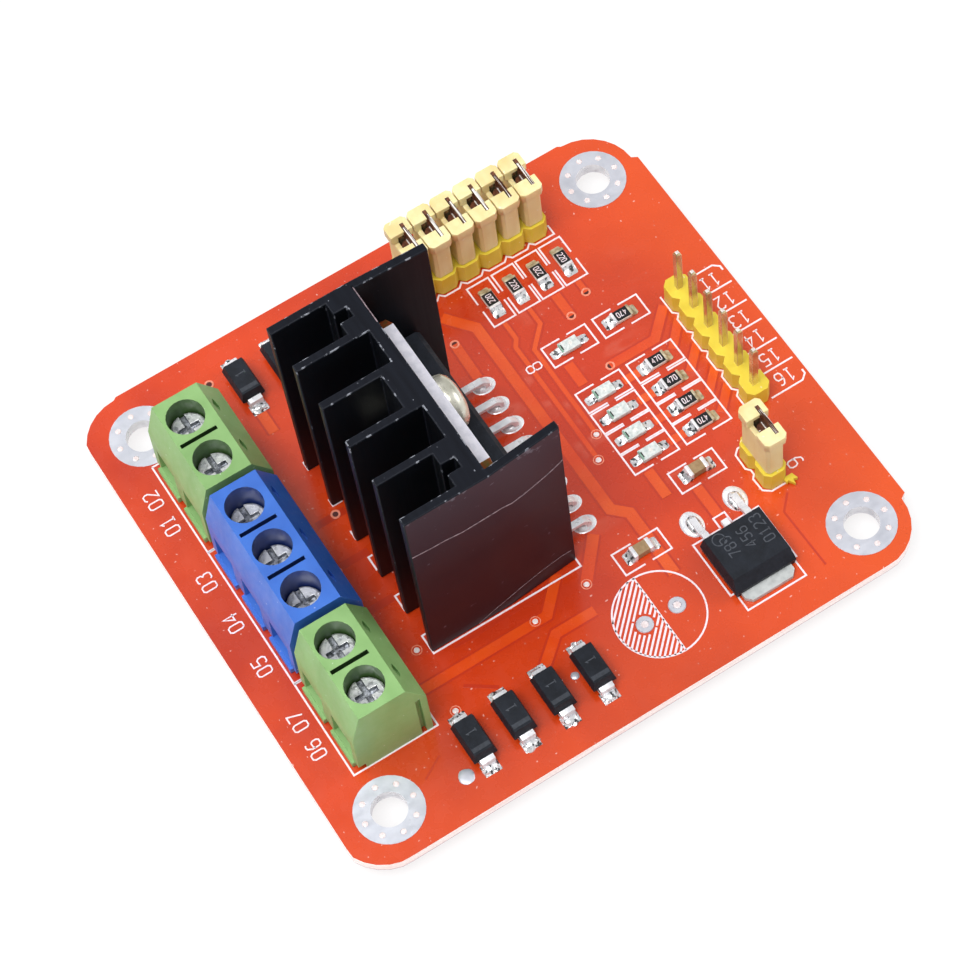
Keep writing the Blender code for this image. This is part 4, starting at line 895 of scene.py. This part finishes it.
def make_caps():
    """The six caps of the bank and the one on the supply header, which has a ragged flash at its end."""
    shape = bmesh.new()
    loft(shape, [[(x, y, z) for x, y in FLASH] for z in (0.15, 0.6)])
    finish_piece("supply_header_flash", shape, [yellow_plastic])
    for i in "123456":
        make_cap("jumper_cap_" + i, "cap_" + i)
    make_cap("supply_jumper_cap", "supply_cap")


# Small parts

# Lengths of the metal ends, and an LED's lens: its length and its share of the height
END_CAP, CAPACITOR_END = 0.27, 0.42
LENS_LENGTH, LED_SHARE = 2.0, 0.75
# How much smaller a fillet is at its two sides, how far it reaches under its part, and how thick its foot is
FILLET_SQUEEZE, FILLET_ROOT, FILLET_FOOT = 0.82, 0.25, 0.06
# How far the parts' ends are sunk into their solder, and how thick printed marks are
SUNK, MARK_LOW, MARK_HIGH = 0.03, 0.01, 0.006


def drawn_on(name, along):
    """A new shape for a small part, with its half length, half width, height and height above the board."""
    low, high = box_of(name)
    span = (high - low) / 2
    a, b = (span.x, span.y) if along == "X" else (span.y, span.x)
    return bmesh.new(), a, b, high.z - low.z, low.z


def ends(shape, outer, inner, half_width, low, high, finish, bevel, sides=SIDES):
    """Blocks at the ends of a part."""
    for side in sides:
        x0, x1 = sorted((side * outer, side * inner))
        block(shape, (x0, -half_width, low), (x1, half_width, high), finish, bevel)


def end_fillets(shape, a, b, rise, reach, finish, sides=SIDES):
    """Solder that climbs the ends of a part from its pads, in a hollow curve."""
    root = a - FILLET_ROOT
    curve = [(reach - (reach - a) * share, FILLET_FOOT + (rise - FILLET_FOOT) * share ** 2.2)
             for share in (0.2, 0.4, 0.6, 0.8, 1.0)]
    outline = [(root, 0.0), (reach, 0.0), (reach, FILLET_FOOT)] + curve + [(root, rise * 0.9)]
    squeezed = [(root + (u - root) * FILLET_SQUEEZE, v * FILLET_SQUEEZE) for u, v in outline]
    for side in sides:
        sections = ((-b, squeezed), (-b + 0.12, outline), (b - 0.12, outline), (b, squeezed))
        loft(shape, [[(side * u, y, v) for u, v in points] for y, points in sections], finish)


def finish_small(name, shape, along, finishes):
    """Lays a small part in its place, where it replaces its CAD node."""
    laid(shape, middle_of(name), along)
    finish_piece(name + "_finished", shape, finishes, replaced=(name,))


def make_resistor(name, along, text, turn):
    """A thick-film resistor: white ceramic, a black coat on top with plain digits, and tinned ends in solder.

    One end has bright solder, the other a short dull fillet.
    """
    shape, a, b, height, lift = drawn_on(name, along)
    top = height + lift
    block(shape, (-a + 0.06, -b + 0.02, lift), (a - 0.06, b - 0.02, top - 0.08), 0, 0.03)
    block(shape, (-a + END_CAP, -b + 0.05, lift + 0.1), (a - END_CAP, b - 0.05, top - 0.02), 1, 0.03)
    bright = 1 if along == "X" else -1
    for side in SIDES:
        ends(shape, a, a - END_CAP, b, lift - SUNK, top, 2 if side == bright else 5, 0.05, (side,))
    numbers(shape, text, (0.0, 0.0), 0.56, turn, 0.075, top - 0.03, top - 0.01, 3, 0.85)
    end_fillets(shape, a, b + 0.025, height * 0.85, 2.0, 4, (bright,))
    end_fillets(shape, a, b - 0.05, height * 0.6, 1.6, 5, (-bright,))
    finish_small(name, shape, along, [alumina_and_painted_glints, black_glass, tinned, white_print, paste_solder, dull_solder])


def make_capacitor(name):
    """A multilayer ceramic capacitor: a tan block between silver ends."""
    shape, a, b, height, lift = drawn_on(name, "Y")
    top = height + lift
    block(shape, (-a + 0.06, -b + 0.04, lift), (a - 0.06, b - 0.04, top - 0.05), 0, 0.08)
    ends(shape, a, a - CAPACITOR_END, b, lift - SUNK, top, 1, 0.1)
    end_fillets(shape, a, b + 0.05, height * 0.6, 1.8, 2)
    finish_small(name, shape, "Y", [tan_ceramic, tinned, paste_solder])


def make_led(name):
    """A chip LED: a low milky block with a dot on it, silver ends, and green and black marks at one end."""
    shape, a, b, height, lift = drawn_on(name, "Y")
    lens = LENS_LENGTH / 2
    top = height * LED_SHARE + lift
    block(shape, (-lens, -b, lift), (lens, b, top - 0.03), 1, 0.06)
    dome(shape, (0.15, 0.0), (0.2, 0.2, 0.03), top - 0.035, 5, steps=12, levels=2)
    ends(shape, a, lens - 0.05, b - 0.18, lift - SUNK, lift + height * 0.4, 2, 0.04)
    block(shape, (-lens - 0.01, -b + 0.12, top - 0.1), (-lens + 0.17, b - 0.12, top - 0.015), 3, 0.01)
    block(shape, (-lens + 0.17, -b + 0.3, top - 0.1), (-lens + 0.3, b - 0.3, top - 0.02), 0, 0.01)
    end_fillets(shape, a - 0.1, b - 0.15, height * 0.5, 2.0, 4)
    finish_small(name, shape, "Y", [black_glass, led_resin, tinned, green_mark, paste_solder, alumina_and_painted_glints])


def make_small_parts():
    """Resistors, LEDs and capacitors with their solder."""
    for i in range(4):
        make_resistor("input_resistor_" + str(i + 1), "X", "220", 180.0 * (i % 2))
        make_resistor("indicator_resistor_" + str(i + 1), "Y", "470", 0.0 if i < 2 else 180.0)
        make_led("indicator_led_" + str(i + 1))
    make_resistor("power_led_resistor", "Y", "470", 180.0)
    make_led("power_led")
    for i in "12":
        make_capacitor("ceramic_capacitor_" + i)


# Diodes and regulator

# How far a diode's pads are from its middle, how far its leads reach in Y, and half the size of a pad
PAD_OUT, DIODE_BODY, DIODE_PAD = 2.75, 0.75, (0.62, 0.85)
# The regulator's leads: their step, half width and thickness, and the X at which they end inside its moulding
REG_LEAD_STEP, REG_LEAD_HALF, REG_LEAD_THICK, REG_INSIDE = 2.29, 0.34, 0.48, 17.2
# Sections of the regulator's moulding: height, or none for its top, then its sides in X and Y
REG_BODY = ((0.1, 17.1, 22.8, 11.7, 18.0), (1.0, 17.0, 22.95, 11.55, 18.1), (1.15, 17.0, 22.95, 11.55, 18.1),
            (None, 17.15, 22.1, 11.85, 17.95))
# The regulator's tab: how much its corners are cut, and how much shorter it is than its box
REG_TAB_CORNER, REG_TAB_SHORT = 0.55, 0.4
# Solder on the regulator's pads: X, distance out from the lead, sizes, finish, seed, lumps, steps and levels
REG_SOLDER = ((14.25, 0.1, (1.42, 1.1, 0.3), 0, 0.0, 0.05, 28, 6),
              (14.5, 0.0, (1.1, 0.8, 0.6), 1, 1.0, 0.12, 20, 5))


def make_diode(name, seed):
    """A moulded diode with folded leads, a laser-marked cathode band and uneven solder at both ends."""
    middle = middle_of(name)
    top = box_of(name)[1].z

    def pick(f):
        return 1 if all(abs(v.co.y - middle.y) < DIODE_BODY for v in f.verts) else 0
    refined(name, [epoxy, tinned], pick, bevel=0.05)
    shape = bmesh.new()
    block(shape, (1.15, -0.9, top - MARK_LOW), (1.6, 0.9, top + MARK_HIGH), 1)
    numbers(shape, "1", (-0.35, 0.0), 0.95, 180.0, 0.1, top - MARK_LOW, top + 0.008)
    laid(shape, middle)
    finish_piece(name + "_marks", shape, [grey_mark, band_mark])
    shape = bmesh.new()
    for side in SIDES:
        x, (u, v) = side * PAD_OUT, DIODE_PAD
        block(shape, (x - u, -v, 0.0), (x + u, v, 0.06), 0, 0.02)
        dome(shape, (x, 0.0), (0.55, 0.75, 0.38), 0.03, 0, seed + side, 0.3, 14, 4)
        for k in range(3):
            turn = seed * 2.3 + side + k * 2.1
            spot = (side * 2.8 + 0.42 * cos(turn), 0.5 * sin(turn))
            dome(shape, spot, (0.34, 0.38, 0.3), 0.02, 0, seed + k, 0.6, 9, 3)
    laid(shape, middle)
    finish_piece(name + "_solder", shape, [paste_solder])


def make_diodes():
    """The two columns of diodes."""
    for i in range(4):
        make_diode("diode_left_" + str(i + 1), 3.1 * i)
        make_diode("diode_right_" + str(i + 1), 3.1 * i + 1.7)


def make_regulator():
    """The voltage regulator: a mitred moulding, two bent leads and a stub, a tab, digits and solder."""
    low, high = box_of("voltage_regulator")
    middle_y = middle_of("voltage_regulator").y
    shape = bmesh.new()
    loft(shape, [rectangle(*sides, z or high.z) for z, *sides in REG_BODY])
    for step in (-REG_LEAD_STEP, 0.0, REG_LEAD_STEP):
        y0, y1 = middle_y + step - REG_LEAD_HALF, middle_y + step + REG_LEAD_HALF
        x = low.x + 0.05
        bent = [(x, 0.3), (x + 1.35, 0.3), (x + 2.0, 0.62), (x + 2.3, 0.75)]
        path = (bent if step else [(15.95, 0.75)]) + [(REG_INSIDE, 0.75)]
        loft(shape, [[(x, y0, z), (x, y1, z), (x, y1, z + REG_LEAD_THICK), (x, y0, z + REG_LEAD_THICK)]
                     for x, z in path], 1)
    finish_piece("voltage_regulator_finished", shape, [epoxy, tinned], replaced=("voltage_regulator",))
    shape = bmesh.new()
    (near, y0, z0), (far, y1, z1) = box_of("regulator_tab")
    far, cut = far - REG_TAB_SHORT, REG_TAB_CORNER
    outline = [(near, y0), (far - cut, y0), (far, y0 + cut), (far, y1 - cut), (far - cut, y1), (near, y1)]
    loft(shape, [[(x, y, z) for x, y in outline] for z in (z0, z1)])
    finish_piece("regulator_tab_finished", shape, [matt_tin], replaced=("regulator_tab",))
    shape = bmesh.new()
    mark_low, mark_high = high.z - MARK_LOW, high.z + MARK_HIGH
    for text, y in (("0123", 16.95), ("456", 15.25), ("789", 13.5)):
        numbers(shape, text, (19.1, y), 1.05, 180.0, 0.11, mark_low, mark_high)
    ring(shape, (17.95, 13.0), 0.56, 0.66, mark_low, mark_high, 0, 24)
    finish_piece("voltage_regulator_marks", shape, [grey_mark])
    shape = bmesh.new()
    for side, seed in ((-1, 2.0), (1, 5.5)):
        for x, out, sizes, finish, more, lumps, steps, levels in REG_SOLDER:
            spot = (x, middle_y + side * (REG_LEAD_STEP + out))
            dome(shape, spot, sizes, 0.0, finish, seed + more, lumps, steps, levels)
    finish_piece("regulator_solder", shape, [solder, paste_solder])


# Print on the board

PRINT_LINE, LABEL_LINE, HATCH_LINE, PRINT_HIGH = 0.17, 0.14, 0.2, 0.05
# The empty round capacitor's circle, the step of its hatching, and the room left round its lower pad
SPARE, SPARE_RADIUS, HATCH_STEP, PAD_CLEAR = (20.2, 5.0), 4.35, 0.62, 1.1
# Labels: plain numbers, their places, heights and turns
LABELS = [(str(11 + i), x, 28.3, 1.35, -90.0) for i, (x, _) in enumerate(CONTROL_PINS)]
LABELS += [(text, x, -27.95, 1.4, 180.0)
           for text, x in (("01 02", -14.6), ("03", -5.9), ("04", -0.9), ("05", 4.4), ("06 07", 12.6))]
LABELS += [("8", -8.1, 9.3, 1.5, 180.0), ("9", 14.2, 24.0, 1.5, 180.0)]


def part_boxes():
    """Outlines round the small parts, broken beside their middles."""
    lines = []
    for y in (17.95, 15.25, 12.55, 9.75):
        for x0, x1 in ((-19.15, -17.05), (-14.05, -16.15)):
            lines.append([(x1, y + 1.2), (x0, y + 1.2), (x0, y - 1.2), (x1, y - 1.2)])
    columns = ((-9.45, -6.95), (-3.4, -0.95), (-0.7, 1.75), (1.95, 4.4), (4.55, 7.0))
    spans = [(x0, x1, y0, y1) for x0, x1 in columns for y0, y1 in ((16.7, 21.7), (10.95, 15.85))]
    for x0, x1, y0, y1 in spans + [(8.6, 11.1, 13.5, 18.4), (12.75, 15.25, 4.6, 9.6)]:
        middle = (y0 + y1) / 2
        for y, end in ((middle - 0.4, y0), (middle + 0.4, y1)):
            lines.append([(x0, y), (x0, end), (x1, end), (x1, y)])
    return lines


def header_lines():
    """Outlines and dividers beside the three headers."""
    low = min(x for x, _ in CONTROL_PINS) - PITCH / 2
    zigzag = []
    for i in range(7):
        x = low + PITCH * i
        zigzag += [(x - 0.45, 23.45), (x, 23.9), (x + 0.45, 23.45)] if 0 < i < 6 else [(x, 23.45)]
    lines = [zigzag] + [[(x, 26.0), (x, 30.1)] for x in (-5.5, -2.95, -0.4, 2.15, 4.75)]
    for x, side in ((-8.0, 1), (7.35, -1)):
        lines.append([(x, 26.0), (x, 29.5), (x + side / 2, 30.1), (x + side, 30.1)])
    right = [(-20.6, 3.2), (-19.7, 3.2)]
    for y in (6.0, 8.55, 11.05, 13.7, 16.3):
        right += [(-19.7, y - 0.45), (-20.15, y), (-19.7, y + 0.45)]
    lines.append(right + [(-19.7, 18.9), (-20.9, 18.9)])
    lines.append([(10.0, 22.0), (10.0, 20.35), (10.5, 19.8), (12.2, 19.75), (12.6, 20.1), (13.1, 20.1),
                  (13.5, 19.75), (14.95, 19.8), (15.5, 20.5), (15.5, 22.4)])
    return lines


def large_part_lines():
    """Outlines round the regulator, the heatsink and the terminals."""
    lines = [[(16.1, 14.4), (16.1, 11.35), (22.3, 11.35), (22.3, 18.55), (16.1, 18.55), (16.1, 15.65)],
             [(22.3, 11.85), (24.4, 11.85), (24.4, 18.2), (22.3, 18.2)],
             [(16.1, 14.4), (14.85, 14.4), (14.85, 15.65), (16.1, 15.65)],
             [(10.9, 1.68), (12.1, 1.68), (12.05, -14.17), (9.95, -14.17), (9.95, -13.65)]]
    for start, x, side in ((-11.8, -10.8, -13.2), (-7.0, -6.17, -13.15), (-3.0, -2.0, -13.0),
                           (1.9, 0.3, -13.7), (6.9, 5.1, -13.6)):
        lines.append([(start, -14.15), (x, -14.15), (x, side)])
    for x0, x1 in ((-19.4, -8.6), (-8.5, 7.5), (7.6, 18.3)):
        lines.append(rectangle(x0, x1, -26.35, -17.55) + [(x0, -26.35)])
    return lines


def around_pad(start, end):
    """A hatch line, or its two parts where the lower pad interrupts it."""
    start, end, pad = Vector(start), Vector(end), Vector(SPARE_HOLES[1])
    way = (end - start).normalized()
    along = (pad - start).dot(way)
    off = (pad - start - way * along).length
    if off >= PAD_CLEAR:
        return [[start, end]]
    gap = (PAD_CLEAR ** 2 - off ** 2) ** 0.5
    parts = [[start, start + way * (along - gap)], [start + way * (along + gap), end]]
    return [part for part in parts if (part[1] - part[0]).dot(way) > 0.2]


def hatching():
    """Slanting lines across the lower half of the spare circle."""
    x, y = SPARE
    lines = []
    count = int(2 * SPARE_RADIUS * 1.42 / HATCH_STEP)
    for i in range(-count, count + 1):
        offset = i * HATCH_STEP
        reach = SPARE_RADIUS ** 2 - offset ** 2 / 2
        if reach <= 0:
            continue
        half = reach ** 0.5 / 2 ** 0.5
        low_u, low_v = offset / 2 + half, offset / 2 - half
        high_u, high_v = low_v, low_u
        if low_v >= 0:
            continue
        if high_v > 0:
            high_u, high_v = high_u + high_v, 0.0
        if hypot(high_u - low_u, high_v - low_v) > 0.3:
            lines += around_pad((x + high_u, y + high_v), (x + low_u, y + low_v))
    return lines


def make_print():
    """All white print on the board, with plain numbers where a board has its labels."""
    x, y = SPARE
    shape = bmesh.new()
    across = [(x - SPARE_RADIUS, y), (x + SPARE_RADIUS, y)]
    round_it = [spot[:2] for spot in circle(SPARE, SPARE_RADIUS, 0.0, 48)]
    for points in part_boxes() + header_lines() + large_part_lines() + [across, round_it]:
        ribbon(shape, points, PRINT_LINE, 0.0, PRINT_HIGH, closed=points is round_it)
    for points in hatching():
        ribbon(shape, points, HATCH_LINE, 0.0, PRINT_HIGH)
    for text, x, y, height, turn in LABELS:
        numbers(shape, text, (x, y), height, turn, LABEL_LINE, 0.0, PRINT_HIGH)
    finish_piece("white_print", shape, [white_print])


# Traces and vias

TRACE_LOW, GROOVE_HIGH, TRACE_HIGH, GROOVE_ROOM = -0.01, 0.015, 0.03, 0.4
# Widths, and the points that each trace or groove follows
TRACES = (
    (1.1, [(-17.8, 4.9), (-15.0, 7.1), (8.7, 7.1), (10.0, 8.4), (17.5, 8.4)]),
    (0.45, [(-13.9, 9.6), (-11.8, 9.6), (-11.0, 9.05), (3.6, 9.0)]),
    (0.45, [(-13.9, 12.4), (-11.9, 12.4), (-9.8, 10.4), (1.3, 10.35)]),
    (1.0, [(-6.6, 12.2), (-3.9, 12.2)]),
    (1.0, [(7.3, 12.2), (10.5, 12.2)]),
    (0.95, [(-13.8, 15.3), (-10.95, 15.3)]),
    (0.6, [(-13.9, 17.9), (-12.4, 17.9)]),
    (0.95, [(-4.25, 15.4), (-4.25, 20.5), (-6.9, 23.2)]),
    (0.85, [(-4.9, 23.6), (-2.4, 21.3)]),
    (0.85, [(-1.6, 23.5), (0.6, 21.3)]),
    (0.85, [(1.5, 23.5), (3.4, 21.6)]),
    (0.85, [(3.7, 23.5), (5.9, 21.3)]),
    *((0.9, [(x, 17.5), (x, 15.5)]) for x in (-2.05, 0.58, 3.21, 5.84)),
    (0.95, [(-14.6, 4.4), (-10.2, 4.3)]),
    (1.0, [(11.3, 15.0), (14.9, 15.0)]),
    (1.1, [(10.0, 4.4), (13.9, 1.1)]),
    (1.0, [(16.6, 0.3), (16.6, -3.9), (18.9, -6.6)]),
    (1.0, [(11.5, -0.6), (14.6, -3.6), (14.6, -16.9)]),
    (1.0, [(-18.9, -14.8), (-16.1, -14.8)]),
)
GROOVES = (
    (0.3, [(12.6, -5.3), (12.6, -12.3)]),
    (0.35, [(18.2, -11.0), (16.3, -13.6)]),
    (0.2, [(20.9, -19.0), (22.2, -21.2)]),
    (0.8, [(5.1, -14.2), (5.1, -17.4)]),
    (0.8, [(-0.3, -13.8), (-0.3, -17.2)]),
    (0.8, [(-5.2, -13.4), (-5.2, -16.5)]),
    (0.2, [(16.4, 21.6), (17.9, 20.2), (24.5, 20.3)]),
)
VIAS = ((-12.4, 17.9), (-10.95, 15.3), (-4.2, 15.4), (-14.6, 4.4), (-24.2, -17.4), (-5.3, -14.4),
        (0.0, -17.3))
PLUGGED_VIAS = ((1.3, 10.3), (3.7, 9.0), (13.95, 1.1), (14.5, -4.8), (10.9, -15.3), (18.0, -15.5))
# Places of the round pads, and their radii
TEST_PADS = ((21.1, -4.7, 0.42), (24.0, -18.0, 0.78))
# Middle in Y of the pads of the chip's front leads
LEAD_PAD_Y = 4.3


def make_traces():
    """Copper under the mask: lighter raised bands, each in a deeper red groove with no copper in it."""
    sunk = [(width + GROOVE_ROOM, points) for width, points in TRACES] + list(GROOVES)
    for name, lines, high, finish in (("masked_traces", TRACES, TRACE_HIGH, masked_copper),
                                      ("mask_grooves", sunk, GROOVE_HIGH, mask_groove)):
        shape = bmesh.new()
        for width, points in lines:
            ribbon(shape, points, width, TRACE_LOW, high)
        finish_piece(name, shape, [finish])


def make_vias():
    """Open vias with pale rims and flat dark discs of painted shade in their holes, plugged ones with thin
    rims, and round pads.
    """
    shape = bmesh.new()
    for spot in VIAS:
        ring(shape, spot, 0.28, 0.48, -0.02, 0.05, 0, 20)
        # Painted shade: a flat dark disc where the via's hole is
        loft(shape, [circle(spot, 0.3, z, 16) for z in (-0.02, 0.02)], 1)
    for x, y in PLUGGED_VIAS:
        ring(shape, (x, y), 0.43, 0.53, -0.02, 0.05, 0, 24)
        dome(shape, (x, y), (0.3, 0.3, 0.1), 0.0, 3, x, 0.1, 12, 3)
    for x, y, radius in TEST_PADS:
        dome(shape, (x, y), (radius, radius, 0.12), 0.0, 2, x, 0.1)
    for x, y in SPARE_HOLES:
        ring(shape, (x, y), 0.36, 0.84, 0.0, 0.16, 2, 28)
        dome(shape, (x, y), (0.4, 0.4, 0.12), 0.0, 3, x + y, 0.1, 16, 4)
    finish_piece("vias", shape, [via_rim, via_painted_shade, ring_tin, plug_resin])


def make_lead_pads():
    """Oval pads and round solder at the chip's front leads."""
    shape = bmesh.new()
    for i, (x, _) in enumerate(FRONT_LEADS):
        dome(shape, (x - 0.25, LEAD_PAD_Y), (0.9, 1.2, 0.1), 0.0, 0, 2.0 + i, 0.03, 24, 3)
        dome(shape, (x - 0.25, LEAD_PAD_Y - 0.1), (0.78, 0.95, 0.45), 0.02, 0, 1.7 * i, 0.06, 24, 6)
    finish_piece("lead_pads", shape, [solder])


# Floor, lights and camera

# Strengths of the floor's glow and of the sky
FLOOR_GLOW, SKY = 0.8, 0.45
# Half size and depth of the floor in millimetres
FLOOR_REACH, FLOOR_DEPTH = 600.0, 2.0
# The camera that the photograph was fitted with: metres from the board's top, radians and millimetres
CAMERA_PLACE = (0.127654, -0.055133, 0.258694)
CAMERA_TURN = (0.48387572, 0.08101264, 1.01564515)
LENS, SENSOR = 115.52, 36.0
# Lamps: places in metres, and powers in watts
LAMPS = {"key_from_above": ((0.1, -0.22, 0.66), 3.8), "fill_from_the_left": ((-0.48, -0.28, 0.42), 1.35),
         "rim_from_the_back": ((0.2, 0.62, 0.4), 1.35)}
LAMP_WIDTH = 0.4


def make_floor():
    """A plain floor, nearly white to the camera and in reflections, that keeps the board's shadow."""
    made = bpy.data.materials.new("matt_white_sweep")
    made.use_nodes = True
    tree = made.node_tree
    tree.nodes.clear()
    path = add(tree, "ShaderNodeLightPath").outputs
    seen = maths(tree, "MAXIMUM", path["Is Camera Ray"], path["Is Glossy Ray"])
    seen = maths(tree, "MAXIMUM", seen, path["Is Transmission Ray"])
    matt, dim = [add(tree, "ShaderNodeBsdfDiffuse", {"Color": linear(colour)}).outputs[0]
                 for colour in ("D8D8D8", "7C7C7C")]
    glow = add(tree, "ShaderNodeEmission", {"Color": linear("FFFFFF"), "Strength": FLOOR_GLOW}).outputs[0]
    lit = add(tree, "ShaderNodeAddShader", {0: dim, 1: glow}).outputs[0]
    mixed = add(tree, "ShaderNodeMixShader", {0: seen, 1: matt, 2: lit}).outputs[0]
    add(tree, "ShaderNodeOutputMaterial", {"Surface": mixed})
    shape = bmesh.new()
    block(shape, (-FLOOR_REACH, -FLOOR_REACH, -FLOOR_DEPTH), (FLOOR_REACH, FLOOR_REACH, 0.0), 0, 0.2)
    floor = placed("floor", mesh_of("floor", shape, Matrix.Scale(MM, 4), [made]))


def make_lamps():
    """Soft square lamps that point at the origin."""
    for name, (place, watts) in LAMPS.items():
        data = bpy.data.lights.new(name, "AREA")
        data.size = LAMP_WIDTH
        data.energy = watts
        lamp = placed(name, data)
        lamp.location = place
        lamp.rotation_euler = (-Vector(place)).to_track_quat("-Z", "Y").to_euler()


def make_world():
    """An even pale sky, white to the camera and dimmer to everything else."""
    world = bpy.data.worlds.new("pale_studio")
    world.use_nodes = True
    tree = world.node_tree
    tree.nodes.clear()
    seen = add(tree, "ShaderNodeLightPath").outputs["Is Camera Ray"]
    strength = between(tree, seen, 0.0, 1.0, SKY, 1.0)
    sky = add(tree, "ShaderNodeBackground", {"Color": linear("FFFFFF"), "Strength": strength}).outputs[0]
    add(tree, "ShaderNodeOutputWorld", {"Surface": sky})
    bpy.context.scene.world = world


def make_camera():
    """The photograph's viewpoint."""
    data = bpy.data.cameras.new("camera")
    data.lens = LENS
    data.sensor_width = SENSOR
    data.clip_start = 0.01
    camera = placed("camera", data)
    camera.location = Vector(CAMERA_PLACE) + Vector((0.0, 0.0, TOP_Z))
    camera.rotation_euler = CAMERA_TURN
    bpy.context.scene.camera = camera


make_board()
make_heatsink()
make_chip()
make_terminals()
make_headers()
make_caps()
make_small_parts()
make_diodes()
make_regulator()
make_print()
make_traces()
make_vias()
make_lead_pads()
make_floor()
make_world()
make_lamps()
make_camera()

bpy.context.scene.view_settings.view_transform = "Standard"
